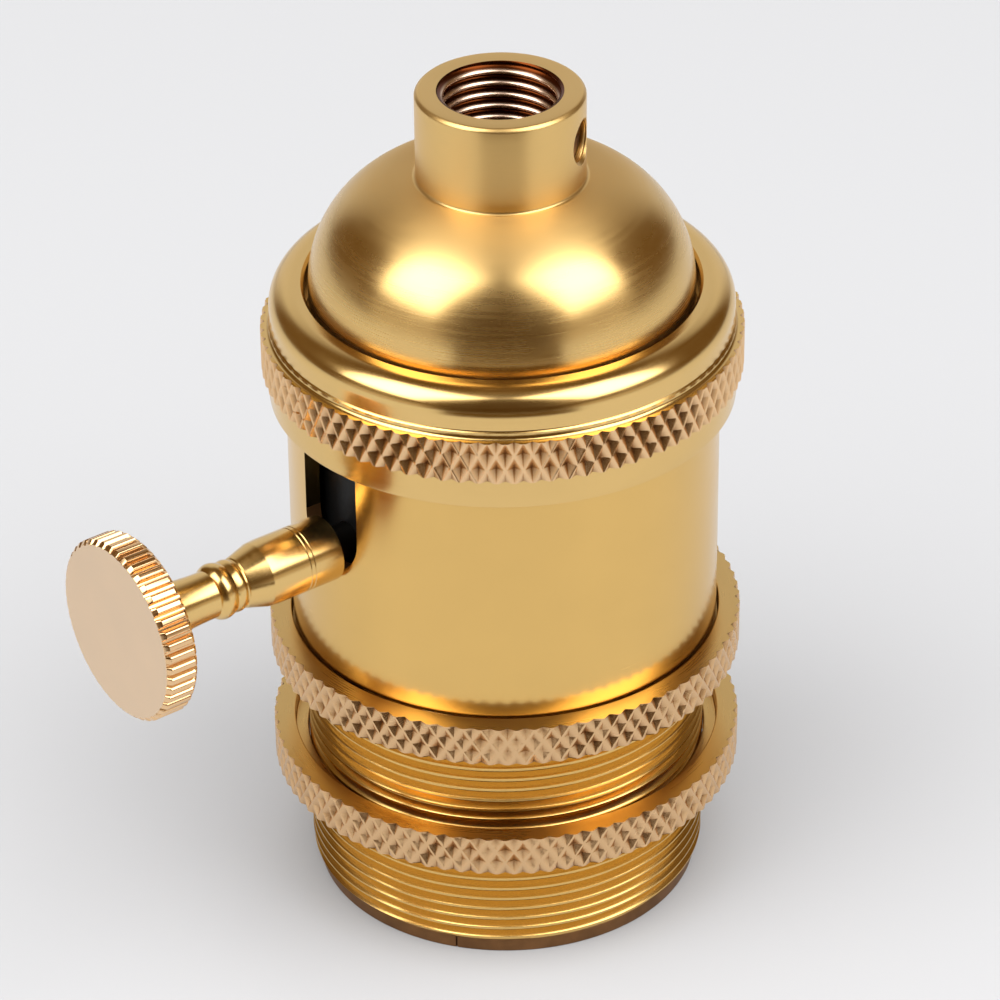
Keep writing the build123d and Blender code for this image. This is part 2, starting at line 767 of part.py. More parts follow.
def centre_contact():
    """Spring strip folded under itself; the lamp's end presses the lower leg."""
    middle_z = contact_z - strip_t / 2
    low_z = middle_z - 2 * strip_bend_r
    inner = strip_bend_r - strip_t / 2
    outer = strip_bend_r + strip_t / 2
    bend_z = middle_z - strip_bend_r
    face = outline_strip(middle_z, low_z)
    bend = Pos(strip_front_x, bend_z) * (Circle(outer) - Circle(inner))
    bend &= Pos(strip_front_x - outer, bend_z) * Rectangle(2 * outer, 4 * outer)
    strip = extrude(Plane.XZ * (face + bend), strip_w / 2, both=True)
    return strip - upright(rivet_r + fit_gap, low_z + strip_t, contact_z, bridge_x)


def outline_strip(middle_z, low_z):
    """Both legs of the folded strip, seen from the side."""
    half = strip_t / 2
    upper = make_face(outline(
        (strip_front_x, middle_z - half),
        (bridge_x + strip_reach, middle_z - half),
        (bridge_x + strip_reach, middle_z + half),
        (strip_front_x, middle_z + half)))
    lower = make_face(outline(
        (strip_front_x, low_z - half),
        (bridge_x + tongue_reach, low_z - half - tongue_drop),
        (bridge_x + tongue_reach, low_z + half - tongue_drop),
        (strip_front_x, low_z + half)))
    return upper + lower


def centre_rivet():
    """Brass rivet from the strip to the chamber's lower contact."""
    tip = knob_z - bridge_r - working_gap
    head_z = contact_z - strip_t
    shank = upright(rivet_r, head_z, tip, bridge_x)
    return shank + upright(rivet_head_r, head_z - rivet_head_h, head_z, bridge_x)


def fibre_liner():
    """Fibre tube that keeps the lamp thread off the shell."""
    outer = tube_bore_r - running_gap
    top = seat_z - drop_in_gap
    return upright(outer, liner_foot_z, top) - upright(outer - liner_wall, liner_foot_z, top)


def main():
    parts = {
        "shell_body": shell_body(),
        "cap_dome": cap_dome(),
        "set_screw": set_screw(),
        "union_ring": union_ring(),
        "shade_ring_upper": shade_ring(upper_ring_z, upper_pocket_angle),
        "shade_ring_lower": shade_ring(lower_ring_z, lower_pocket_angle),
        "knob": knob(),
        "switch_shaft": switch_shaft(),
        "switch_rotor": switch_rotor(),
        "rotor_contact": rotor_contact(),
        "shaft_clip": shaft_clip(),
        "index_spring": index_spring(),
        "switch_body": switch_body(),
        "switch_cover": switch_cover(),
        "line_terminal": line_terminal(),
        "neutral_terminal": neutral_terminal(),
        "binding_screws": binding_screws(),
        "through_screws": through_screws(),
        "clamp_nuts": clamp_nuts(),
        "screw_shell": screw_shell(),
        "centre_contact": centre_contact(),
        "centre_rivet": centre_rivet(),
        "fibre_liner": fibre_liner(),
    }
    os.makedirs("parts", exist_ok=True)
    for name, shape in parts.items():
        export_step(shape, f"parts/{name}.step")


main()
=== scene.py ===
"""Turn knob lamp socket: its brass pieces, finishes, studio and camera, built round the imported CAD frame."""

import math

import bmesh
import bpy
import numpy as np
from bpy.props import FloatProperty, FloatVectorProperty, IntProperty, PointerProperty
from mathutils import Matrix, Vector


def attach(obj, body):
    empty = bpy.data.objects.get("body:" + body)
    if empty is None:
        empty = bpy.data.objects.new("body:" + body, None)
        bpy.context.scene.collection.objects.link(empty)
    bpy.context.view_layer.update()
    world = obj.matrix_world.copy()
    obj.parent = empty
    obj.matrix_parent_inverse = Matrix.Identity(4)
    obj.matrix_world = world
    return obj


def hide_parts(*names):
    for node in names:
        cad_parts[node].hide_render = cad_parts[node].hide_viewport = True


bl_info = {
    "name": "Turn Knob Lamp Socket",
    "version": (1, 0, 0),
    "blender": (4, 5, 0),
    "location": "View3D > Sidebar > Lamp Socket",
    "description": "Builds a turn knob lamp socket in brass round its CAD frame",
    "category": "Object",
}

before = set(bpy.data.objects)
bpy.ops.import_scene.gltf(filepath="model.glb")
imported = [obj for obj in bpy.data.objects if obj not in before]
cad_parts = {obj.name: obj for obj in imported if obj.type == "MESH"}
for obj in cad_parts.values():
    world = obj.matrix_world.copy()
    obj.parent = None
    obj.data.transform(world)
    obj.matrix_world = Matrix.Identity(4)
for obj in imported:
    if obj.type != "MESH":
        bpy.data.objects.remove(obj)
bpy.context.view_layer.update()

MM = 0.001
TAU = 2 * math.pi

TOUCH = 0.001 * MM         # how near a level a point lies that is meant to be on it

# Sizes that the pieces share with the CAD, in millimetres
BARREL_R, BARREL_LOW_Z = 17.55, 24.5
UNION_NECK_Z, SHELL_TOP_Z = 46.2, 50.6
SHELL_BORE_R, TUBE_BORE_R, SEAT_Z = 16.2, 15.3, 25.0
LIP_R, LIP_H = 16.0, 1.15
SHADE_CREST_R, SHADE_THREAD_TOP_Z = 16.55, 24.3
UNION_CREST_R, UNION_THREAD_Z = 17.2, (46.35, 50.45)
SLOT_HALF_W, SLOT_ARCH_Z = 3.5, 38.3
NICK_AZIMUTH, NICK_R, NICK_HALF_W = -15.6, (15.7, 16.3), 0.14
DOME_CENTRE, DOME_BEND, HOLLOW_BEND = (5.99, 55.07), 9.5, 8.0
FLANGE_R, FLANGE_TOP_Z = 17.0, 52.0
NECK_R, NECK_TOP_Z, NECK_CHAMFER = 6.75, 71.94, 0.26
NECK_BORE_R, NECK_MINOR_R = 5.0, 4.46
SCREW_MINOR_R, SCREW_MAJOR_R, SCREW_MOUTH_R = 1.7, 1.95, 2.35
SCREW_HOLE_Z, SCREW_HOLE_TURN = 68.44, math.radians(-55)
UNION_KNURL_Z, UNION_KNURL_R = (47.85, 51.4), 19.43
CROWN_R, CROWN_BEND, CROWN_TOP_Z = 18.69, 2.0, 55.2
SHADE_RING_R, SHADE_RING_H = 19.5, 3.35
UPPER_RING_Z, LOWER_RING_Z = 21.35, 10.5
KNOB_Z = 36.6
KNOB_R, RIM_R, TOOTH_DEPTH = 7.55, 7.05, 0.42
DISC_BACK, KNOB_END = 35.0, 37.8       # out along the stem from the lamp axis
STEM_R, SHAFT_R = 2.72, 1.42
LAMP_THREAD_Z, LAMP_WALL_R, LAMP_WAVE = (4.65, 22.75), (12.75, 13.1), 0.55
LAMP_HOLE_R, SCREW_PASS_R, SCREW_PASS_Y = 5.903, 1.27, 8.803

# How finely the pieces are divided
TURNED_STEPS = 192         # round the shell and the cap
LAMP_STEPS = 128
HOLE_STEPS = 48
KNURL_CUTS = 16            # mesh steps across one knurl pocket
RING_STEP_SHARE = 4        # the rest of a knurled ring has one step for this many
TOOTH_CUTS = 16            # mesh steps across one tooth of the knob
THREAD_ROWS = 16           # mesh rows in one turn of a thread
SHARP_ANGLE = math.radians(32)


def length(name, description, millimetres):
    return FloatProperty(name=name, description=description, default=millimetres * MM, min=0.0,
                         precision=5, unit='LENGTH')


def turn(name, description, degrees):
    return FloatProperty(name=name, description=description, default=math.radians(degrees), subtype='ANGLE')


def number(name, description, value):
    return IntProperty(name=name, description=description, default=value, min=3)


def tone(name, description, *colour):
    return FloatVectorProperty(name=name, description=description, default=colour, size=3, min=0.0, max=1.0,
                               subtype='COLOR')


class SocketSizes(bpy.types.PropertyGroup):
    """Sizes that can be changed before the pieces are built"""
    union_pockets: number("Union ring pockets", "Knurl pockets in one row round the union ring", 86)
    union_pocket_h: length("Union pocket height", "Height of one knurl pocket of the union ring", 2.66)
    union_pocket_depth: length("Union pocket depth", "How deep the union ring's pockets are", 0.49)
    union_pocket_turn: turn("Union pocket turn", "Where the first pocket of the union ring lies", -128.4)
    shade_pockets: number("Shade ring pockets", "Knurl pockets in one row round a shade ring", 85)
    shade_pocket_h: length("Shade pocket height", "Height of one knurl pocket of a shade ring", 2.16)
    shade_pocket_depth: length("Shade pocket depth", "How deep a shade ring's pockets are", 0.4)
    upper_pocket_turn: turn("Upper pocket turn", "Where the upper shade ring's first pocket lies", -128.5)
    lower_pocket_turn: turn("Lower pocket turn", "Where the lower shade ring's first pocket lies", -127.2)
    knob_teeth: number("Knob teeth", "Teeth of the knob's straight knurl", 46)
    fine_pitch: length("Fine pitch", "Pitch of the stem, shade and union threads", 1.0)
    thread_depth: length("Thread depth", "Depth of the shade and union threads", 0.58)
    lamp_pitch: length("Lamp pitch", "Pitch of the rolled lamp thread", 3.62)


class SocketFinishes(bpy.types.PropertyGroup):
    """Colours of the finishes"""
    bright_brass: tone("Bright brass", "The shell", 0.76, 0.495, 0.165)
    satin_brass: tone("Satin brass", "The cap, the crown, the shade rings' faces and the stem", 0.765, 0.52, 0.2)
    raw_brass: tone("Raw brass", "The union ring's knurl and the knob's rim", 0.84, 0.56, 0.30)
    worn_brass: tone("Worn brass", "The shade rings' knurls", 0.72, 0.47, 0.245)
    # Painted shade: the dark tone at the bottom of the knurls' pockets
    knurl_root_shade: tone("Knurl root shade", "The bottom of a knurl's pockets", 0.34, 0.18, 0.075)
    # Painted shade: the near-black tone in the roots of the neck's thread
    neck_root_shade: tone("Neck root shade", "The roots of the thread in the neck", 0.12, 0.028, 0.006)
    # Painted shade: a dark tone for the foot's lip (dull metal with the floor's shadow painted in), the walls
    # inside the slot and the set screw in its hole
    dull_shaded_brass: tone("Dull shaded brass", "The foot's lip, the slot's walls and the set screw", 0.19, 0.09, 0.033)
    bore_brass: tone("Bore brass", "The crests of the thread in the neck", 0.88, 0.66, 0.50)
    # Painted shade: the switch's shaft is made near-black as the shade inside the slot
    shaft_in_shade: tone("Shaft in shade", "The switch's shaft", 0.035, 0.032, 0.03)
    face_brass: tone("Faced brass", "The knob's face", 0.81, 0.62, 0.43)
    fitting_brass: tone("Fitting brass", "Pieces of the switch", 0.78, 0.58, 0.27)
    bronze: tone("Bronze", "The centre contact", 0.70, 0.42, 0.22)
    steel: tone("Steel", "Screws, nuts and springs", 0.56, 0.55, 0.53)
    moulding: tone("Moulding", "The switch's black mouldings", 0.004, 0.004, 0.004)
    fibre: tone("Fibre", "The liner of the lamp thread", 0.16, 0.07, 0.032)
    floor_tone: tone("Floor", "The board under the socket", 0.318, 0.318, 0.323)


class Wire:
    """A socket in a node tree that can be used in sums as a number is"""

    def __init__(self, tree, socket):
        self.tree = tree
        self.socket = socket

    def math(self, operation, *others, clamp=False):
        node = self.tree.nodes.new("ShaderNodeMath")
        node.operation = operation
        node.use_clamp = clamp
        for slot, value in zip(node.inputs, (self, *others)):
            feed(self.tree, slot, value)
        return Wire(self.tree, node.outputs[0])

    def __add__(self, other):
        return self.math('ADD', other)

    def __sub__(self, other):
        return self.math('SUBTRACT', other)

    def __rsub__(self, other):
        return self.math('MULTIPLY_ADD', -1.0, other)

    def __mul__(self, other):
        return self.math('MULTIPLY', other)

    def __truediv__(self, other):
        return self.math('DIVIDE', other)

    def __gt__(self, other):
        return self.math('GREATER_THAN', other)

    def __lt__(self, other):
        return self.math('LESS_THAN', other)

    __radd__ = __add__
    __rmul__ = __mul__

    def size(self):
        return self.math('ABSOLUTE')

    def least(self, other):
        return self.math('MINIMUM', other)

    def most(self, other):
        return self.math('MAXIMUM', other)

    def clamped(self):
        return self.math('ADD', 0.0, clamp=True)


def feed(tree, slot, value):
    """Joins a wire to an input, or sets the input's own value"""
    if isinstance(value, Wire):
        tree.links.new(value.socket, slot)
    else:
        slot.default_value = value


def put(tree, kind, settings=None, **inputs):
    """A new node with its settings and inputs; an underscore in an input's name stands for a space"""
    node = tree.nodes.new(kind)
    for key, value in (settings or {}).items():
        setattr(node, key, value)
    for key, value in inputs.items():
        feed(tree, node.inputs[key.replace("_", " ")], value)
    return node


def out(node, name=0):
    return Wire(node.id_data, node.outputs[name])


def joined(tree, x, y, z):
    """A vector of three numbers"""
    return out(put(tree, "ShaderNodeCombineXYZ", X=x, Y=y, Z=z))


def parted(tree, vector):
    """The x, y and z of a vector"""
    parts = put(tree, "ShaderNodeSeparateXYZ", Vector=vector)
    return [out(parts, axis) for axis in "XYZ"]


def noise(tree, place, scale, detail, **inputs):
    return out(put(tree, "ShaderNodeTexNoise", Vector=place, Scale=scale, Detail=detail, **inputs), 0)


def tinted(tree, colour, tint):
    """A colour made darker or paler"""
    node = put(tree, "ShaderNodeVectorMath", {"operation": 'SCALE'}, Scale=tint)
    node.inputs[0].default_value = colour
    return out(node)


def between(value, start, end):
    """How far a value has gone from one level to another, eased at both"""
    gone = ((value - start) / (end - start)).clamped()
    return gone * gone * (3.0 - 2.0 * gone)


def blend(tree, factor, first, second):
    """A mix of two colours"""
    node = tree.nodes.new("ShaderNodeMix")
    node.data_type = 'RGBA'
    sockets = {s.identifier: s for s in node.inputs}
    feed(tree, sockets["Factor_Float"], factor)
    feed(tree, sockets["A_Color"], first)
    feed(tree, sockets["B_Color"], second)
    return Wire(tree, next(s for s in node.outputs if s.identifier == "Result_Color"))


def shape_tree(name, **inputs):
    """An empty Geometry Nodes tree with named inputs, listed by kind, and its input wires by name"""
    tree = bpy.data.node_groups.new(name, 'GeometryNodeTree')
    tree.interface.new_socket("Geometry", in_out='INPUT', socket_type='NodeSocketGeometry')
    tree.interface.new_socket("Geometry", in_out='OUTPUT', socket_type='NodeSocketGeometry')
    labels = ["Geometry"]
    for kind, kind_labels in inputs.items():
        for label in kind_labels:
            tree.interface.new_socket(label, in_out='INPUT', socket_type='NodeSocket' + kind)
            labels.append(label)
    entry = tree.nodes.new("NodeGroupInput")
    return tree, {label: out(entry, label) for label in labels}


def finish_tree(tree, geometry, *coats):
    """Ends a tree with real geometry and its finishes, each on all faces or where a field holds"""
    last = out(put(tree, "GeometryNodeRealizeInstances", Geometry=geometry))
    for material, *where in coats:
        node = put(tree, "GeometryNodeSetMaterial", Geometry=last, Material=material)
        if where:
            feed(tree, node.inputs["Selection"], where[0])
        last = out(node)
    end = tree.nodes.new("NodeGroupOutput")
    tree.links.new(last.socket, end.inputs["Geometry"])
    return tree


def points_of(tree):
    """The x, y and z of a point, and how far it is from the upright axis"""
    x, y, z = parted(tree, out(tree.nodes.new("GeometryNodeInputPosition")))
    return x, y, z, (x * x + y * y).math('SQRT')


def moved_to(tree, geometry, *place):
    """Geometry with its points at a new x, y and z"""
    return out(put(tree, "GeometryNodeSetPosition", Geometry=geometry, Position=joined(tree, *place)))


def knurl_tree():
    """Cuts staggered rows of four-sided pockets into a band of a turned piece"""
    tree, given = shape_tree(
        "Crossed knurl",
        Float=("Bottom", "Top", "Crest radius", "Pocket depth", "Pocket height", "Pockets", "First row", "Turn",
               "Ridge", "Unevenness", "Seed"),
        Material=("Finish", "Band finish"))
    grain_scale, grain_share, band_reach, level = 2600.0, 0.35, 1.3, 0.9
    x, y, z, radius = points_of(tree)
    across = (y.math('ARCTAN2', x) - given["Turn"]) * given["Pockets"] / TAU
    up = (z - given["First row"]) / given["Pocket height"]
    lines = (across + up, across - up)
    first_cell, second_cell = (line.math('ROUND') for line in lines)
    to_ridge = [0.5 - (line - cell).size() for line, cell in zip(lines, (first_cell, second_cell))]
    inside = to_ridge[0].least(to_ridge[1]) * 2.0
    around = (first_cell + second_cell).math('FLOORED_MODULO', given["Pockets"] * 2.0)
    cell = joined(tree, around, first_cell - second_cell, given["Seed"])
    cell_noise = out(put(tree, "ShaderNodeTexWhiteNoise", {"noise_dimensions": '3D'}, Vector=cell), "Value")
    grain = noise(tree, joined(tree, x, y, z + given["Seed"]), grain_scale, 2.0)
    slope = ((inside - given["Ridge"]) / (1.0 - given["Ridge"])).clamped()
    depth = given["Pocket depth"] * (1.0 - given["Unevenness"] * cell_noise)
    cut = slope * depth + (grain - 0.5) * given["Unevenness"] * given["Pocket depth"] * grain_share
    over, under = z - given["Bottom"], given["Top"] - z
    on_band = (over > -TOUCH) * (under > -TOUCH) * ((radius - given["Crest radius"]).size() < TOUCH)
    scale = 1.0 - cut.most(0.0) * on_band / radius
    cut_piece = moved_to(tree, given["Geometry"], x * scale, y * scale, z)
    normal_z = parted(tree, out(tree.nodes.new("GeometryNodeInputNormal")))[2]
    band = ((over > 0.0) * (under > 0.0) * (normal_z.size() < level)
            * (given["Crest radius"] - given["Pocket depth"] * band_reach < radius))
    return finish_tree(tree, cut_piece, (given["Finish"],), (given["Band finish"], band))


def thread_tree():
    """Adds the skin of a right-hand thread between two edges of a turned piece"""
    tree, given = shape_tree(
        "Screw thread",
        Float=("Low", "High", "Crest radius", "Root radius", "End radius", "Run-out", "Pitch", "Root flat",
               "Crest flat", "Rounded"),
        Int=("Rows in a turn", "Steps"), Bool=("Inside",), Material=("Finish",))
    row_h = given["Pitch"] / given["Rows in a turn"]
    rows = ((given["High"] - given["Low"]) / row_h).math('CEIL') + given["Rows in a turn"]
    sheet = put(tree, "GeometryNodeMeshGrid", Size_X=1.0, Size_Y=1.0, Vertices_X=given["Steps"] + 1,
                Vertices_Y=rows + 1)
    x, y, _, _ = points_of(tree)
    round_share = x + 0.5
    row = ((y + 0.5) * rows).math('ROUND')
    climb = given["Low"] - given["Pitch"] + row * row_h + round_share * given["Pitch"]
    height = climb.most(given["Low"]).least(given["High"])
    phase = (row / given["Rows in a turn"]).math('FRACT')
    peak = (phase * 2.0 - 1.0).size()
    angular = ((peak - given["Root flat"]) / (1.0 - given["Root flat"] - given["Crest flat"])).clamped()
    wave = (phase * TAU).math('COSINE') * 0.5 + 0.5
    tooth = angular + (wave - angular) * given["Rounded"]
    thread_r = given["Root radius"] + (given["Crest radius"] - given["Root radius"]) * tooth
    from_end = (height - given["Low"]).least(given["High"] - height)
    full = (from_end / given["Run-out"]).clamped()
    radius = given["End radius"] + (thread_r - given["End radius"]) * full
    angle = round_share * TAU
    skin = moved_to(tree, out(sheet, "Mesh"), angle.math('COSINE') * radius, angle.math('SINE') * radius, height)
    turned_in = out(put(tree, "GeometryNodeFlipFaces", Mesh=skin, Selection=given["Inside"]))
    both = tree.nodes.new("GeometryNodeJoinGeometry")
    tree.links.new(turned_in.socket, both.inputs[0])
    tree.links.new(given["Geometry"].socket, both.inputs[0])
    whole = out(put(tree, "GeometryNodeMergeByDistance", Geometry=out(both), Distance=2 * TOUCH))
    return finish_tree(tree, whole, (given["Finish"],))


def tooth_tree():
    """Cuts a straight knurl with rounded crests into the rim of a turned disc"""
    tree, given = shape_tree(
        "Straight knurl", Float=("Bottom", "Top", "Crest radius", "Tooth depth", "Teeth", "Rim"),
        Material=("Finish", "Band finish", "Rim finish"))
    rim_share, face_depth = 0.97, 0.02 * MM
    x, y, z, radius = points_of(tree)
    across = (y.math('ARCTAN2', x) / TAU * given["Teeth"]).math('FRACT')
    profile = tree.nodes.new("ShaderNodeFloatCurve")
    curve = profile.mapping.curves[0]
    for at, height in TOOTH_OUTLINE[1:-1]:
        curve.points.new(at, height)
    for point, (at, height) in zip(curve.points, TOOTH_OUTLINE):
        point.location = (at, height)
        point.handle_type = 'AUTO_CLAMPED'
    profile.mapping.update()
    feed(tree, profile.inputs["Value"], across)
    tooth_r = given["Crest radius"] - given["Tooth depth"] * (1.0 - out(profile))
    on_rim = (z > given["Bottom"] - TOUCH) * (given["Top"] + TOUCH > z) * (radius > given["Rim"])
    scale = 1.0 - (radius - radius.least(tooth_r)) * on_rim / radius
    cut_piece = moved_to(tree, given["Geometry"], x * scale, y * scale, z)
    rim = (z > given["Bottom"]) * (radius > given["Rim"] * rim_share)
    face = (z > given["Top"] - face_depth) * (given["Rim"] > radius)
    return finish_tree(tree, cut_piece, (given["Finish"],), (given["Rim finish"], rim),
                       (given["Band finish"], face))


# Height of the knob's tooth across its width
TOOTH_OUTLINE = ((0.0, 0.0), (0.16, 0.0), (0.3, 0.75), (0.45, 1.0), (0.71, 1.0), (0.86, 0.75), (1.0, 0.0))


def tree_named(name):
    """A Geometry Nodes tree by name, made at its first use"""
    makers = {"Crossed knurl": knurl_tree, "Screw thread": thread_tree, "Straight knurl": tooth_tree}
    return bpy.data.node_groups.get(name) or makers[name]()


def placed(name, data):
    """A new object in the scene"""
    piece = bpy.data.objects.new(name, data)
    bpy.context.scene.collection.objects.link(piece)
    return piece


def plain_mesh(piece):
    """The mesh of an object with its modifiers"""
    return bpy.data.meshes.new_from_object(piece.evaluated_get(bpy.context.evaluated_depsgraph_get()))


def regrown(mesh, tree_name, values):
    """The plain mesh that a tree makes of another one, with the tree's named inputs set"""
    tree = tree_named(tree_name)
    holder = placed("blank", mesh)
    modifier = holder.modifiers.new("shape", 'NODES')
    modifier.node_group = tree
    for item in tree.interface.items_tree:
        if item.in_out == 'INPUT' and item.name in values:
            modifier[item.identifier] = values[item.name]
    made = plain_mesh(holder)
    bpy.data.objects.remove(holder)
    bpy.data.meshes.remove(mesh)
    return made


def in_metres(**values):
    """Named inputs of a tree from millimetres; an underscore stands for a space"""
    return {name.replace("_", " "): value * MM for name, value in values.items()}


def mesh_of(name, points, faces):
    made = bpy.data.meshes.new(name)
    made.from_pydata(points, [], faces)
    made.update()
    return made


def outward(mesh):
    """The mesh with its faces turned outwards"""
    work = bmesh.new()
    work.from_mesh(mesh)
    bmesh.ops.remove_doubles(work, verts=work.verts, dist=TOUCH / 2)
    bmesh.ops.recalc_face_normals(work, faces=work.faces)
    work.to_mesh(mesh)
    work.free()
    return mesh


def prism(name, *ends):
    """A closed bar between two outlines with the same number of points"""
    count = len(ends[0])
    faces = [tuple(range(count))[::-1], tuple(range(count, 2 * count))]
    faces += [(k, (k + 1) % count, count + (k + 1) % count, count + k) for k in range(count)]
    return outward(mesh_of(name, [(x * MM, y * MM, z * MM) for end in ends for x, y, z in end], faces))


def arc(centre_r, centre_z, radius, start, end, cuts):
    """Points of an arc of a profile, between two angles in degrees"""
    angles = np.radians(np.linspace(start, end, cuts + 1))
    return [(centre_r + radius * math.cos(a), centre_z + radius * math.sin(a)) for a in angles]


def rounded(points, radius, cuts=4):
    """A profile whose inner corners are rounded off; its first and last points stay"""
    flattest, sharpest, reach_share = math.radians(172), math.radians(8), 0.45
    made = [points[0]]
    for before, corner, after in zip(points, points[1:], points[2:]):
        corner_v = Vector(corner)
        to_before, to_after = Vector(before) - corner_v, Vector(after) - corner_v
        turned_by = to_before.angle(to_after)
        if not sharpest <= turned_by <= flattest:
            made.append(corner)
            continue
        reach = min(radius / math.tan(turned_by / 2), to_before.length * reach_share, to_after.length * reach_share)
        near = corner_v + to_before.normalized() * reach
        far = corner_v + to_after.normalized() * reach
        for cut in range(cuts + 1):
            t = cut / cuts
            bent = near * (1 - t) ** 2 + corner_v * (2 * t * (1 - t)) + far * t ** 2
            made.append((bent.x, bent.y))
    made.append(points[-1])
    return made


def divided(points, longest):
    """A profile with no stretch longer than a given length"""
    made = [points[0]]
    for (r0, z0), (r1, z1) in zip(points, points[1:]):
        cuts = max(1, math.ceil(math.hypot(r1 - r0, z1 - z0) / longest))
        made += [(r0 + (r1 - r0) * k / cuts, z0 + (z1 - z0) * k / cuts) for k in range(1, cuts + 1)]
    return made


class Lathe:
    """Rings of points round the upright axis, and the faces between them"""

    def __init__(self):
        self.points = []
        self.faces = []

    def ring(self, radius, height, steps, start=0.0):
        first = len(self.points)
        if radius < 1e-6:
            self.points.append((0.0, 0.0, height * MM))
            return first, 1
        for k in range(steps):
            angle = start + TAU * k / steps
            self.points.append((radius * MM * math.cos(angle), radius * MM * math.sin(angle), height * MM))
        return first, steps

    def join(self, lower, upper):
        """Faces from one ring up to the next, whose numbers of steps may differ by a whole factor"""
        (a, m), (b, n) = lower, upper
        down, up = max(1, m // n), max(1, n // m)
        for k in range(min(m, n)):
            below = [a + (k * down + i) % m for i in range(down + 1)]
            above = [b + (k * up + i) % n for i in range(up + 1)][::-1]
            if m == 1 or n == 1:
                edge, pole = (below, b) if n == 1 else (above, a)
                self.faces += [(*pair, pole) for pair in zip(edge, edge[1:])]
            else:
                self.faces.append(tuple(below + above))

    def walk(self, profile, steps, start=0.0):
        """Rings along a profile, joined one to the next"""
        rings = [self.ring(r, z, steps, start) for r, z in profile]
        for lower, upper in zip(rings, rings[1:]):
            self.join(lower, upper)
        return rings

    def mesh(self, name):
        return mesh_of(name, self.points, self.faces)


def knurl_rows(low, high, first_row, pocket_h):
    """Heights of the mesh rows of a knurled band, each with its row number on the knurl's own grid"""
    row_h = pocket_h / KNURL_CUTS
    clear = 0.15 * row_h
    rows = [(low, None)]
    for k in range(math.ceil((low - first_row) / row_h), math.floor((high - first_row) / row_h) + 1):
        height = first_row + k * row_h
        if low + clear < height < high - clear:
            rows.append((height, k))
    rows.append((high, None))
    numbers = [rows[1][1] - 1] + [k for _, k in rows[1:-1]] + [rows[-2][1] + 1]
    return [height for height, _ in rows], numbers


def join_on_ridges(lathe, lower, upper, row):
    """Triangles between two rings of a knurled band, split along the ridges that cross there"""
    (a, steps), (b, _) = lower, upper
    half = KNURL_CUTS // 2
    for k in range(steps):
        p, q = a + k, a + (k + 1) % steps
        r, s = b + (k + 1) % steps, b + k
        falling = (k + row + 1) % KNURL_CUTS
        rising = (k - row) % KNURL_CUTS
        if abs(falling - half) < abs(rising - half):
            lathe.faces += [(p, q, s), (q, r, s)]
        else:
            lathe.faces += [(p, q, r), (p, r, s)]


def knurled(below, above, heights, crest_r, first_row, pockets, pocket_h, pocket_depth, start, ridge,
            unevenness, seed, main, band_finish):
    """A turned ring, closed all round, with a knurled band between two parts of its profile"""
    lathe = Lathe()
    low, high = heights
    fine = pockets * KNURL_CUTS
    coarse = fine // RING_STEP_SHARE
    levels, rows = knurl_rows(low, high, first_row, pocket_h / MM)
    before = lathe.walk(below, coarse, start)
    band = [lathe.ring(crest_r, height, fine, start) for height in levels]
    after = lathe.walk(above, coarse, start)
    lathe.join(before[-1], band[0])
    for lower, upper, row in zip(band, band[1:], rows):
        join_on_ridges(lathe, lower, upper, row)
    lathe.join(band[-1], after[0])
    lathe.join(after[-1], before[0])
    return regrown(lathe.mesh("ring"), "Crossed knurl", {
        **in_metres(Bottom=low, Top=high, Crest_radius=crest_r, First_row=first_row),
        "Pocket depth": pocket_depth, "Pocket height": pocket_h, "Pockets": float(pockets), "Turn": start,
        "Ridge": ridge, "Unevenness": unevenness, "Seed": seed,
        "Finish": finish(main), "Band finish": finish(band_finish)})


def show(name, mesh, body, nodes, material=None):
    """A finished piece in the scene, smooth up to its sharp edges, riding on its body"""
    mesh.name = name
    if material is not None:
        mesh.materials.clear()
        mesh.materials.append(material)
        mesh.polygons.foreach_set("material_index", np.zeros(len(mesh.polygons), np.int32))
    mesh.shade_smooth()
    mesh.set_sharp_from_angle(angle=SHARP_ANGLE)
    piece = placed(name, mesh)
    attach(piece, body)
    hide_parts(*nodes)
    return piece


def dressed(mesh, main, *bands):
    """The mesh in its main finish, and in others where a test of its faces' radius and height holds"""
    centres = np.empty(len(mesh.polygons) * 3)
    mesh.polygons.foreach_get("center", centres)
    x, y, z = centres.reshape(-1, 3).T / MM
    worn = np.zeros(len(mesh.polygons), np.int32)
    mesh.materials.clear()
    mesh.materials.append(finish(main))
    for place, (name, inside) in enumerate(bands, 1):
        mesh.materials.append(finish(name))
        worn[inside(np.hypot(x, y), z)] = place
    mesh.polygons.foreach_set("material_index", worn)
    return mesh


def cut_from(mesh, cutter):
    """The mesh with a closed cutter taken away"""
    holders = [placed("blank", mesh), placed("cutter", cutter)]
    modifier = holders[0].modifiers.new("cut", 'BOOLEAN')
    modifier.operation = 'DIFFERENCE'
    modifier.solver = 'EXACT'
    modifier.object = holders[1]
    made = plain_mesh(holders[0])
    for holder in holders:
        bpy.data.objects.remove(holder)
    return made


def new_material(name):
    """A material with an empty node tree"""
    material = bpy.data.materials.new(name)
    material.use_nodes = True
    material.node_tree.nodes.clear()
    return material, material.node_tree


def surfaced(material, shader):
    """The material with a shader as its surface"""
    end = material.node_tree.nodes.new("ShaderNodeOutputMaterial")
    material.node_tree.links.new(shader.outputs[0], end.inputs["Surface"])
    return material


MARK_SCALE, MARK_SWEEP = 9000.0, 2.2    # of the turning marks, along the profile and round the piece
CLOUD_SCALE, SPECK_SCALE = 170.0, 5200.0
CLOUD_ROUGHNESS, MARK_ROUGHNESS, SPECK_ROUGHNESS = 0.12, 0.16, 0.15
QUARTER_TURN = 0.25                     # lays the stretched highlights across the turning marks


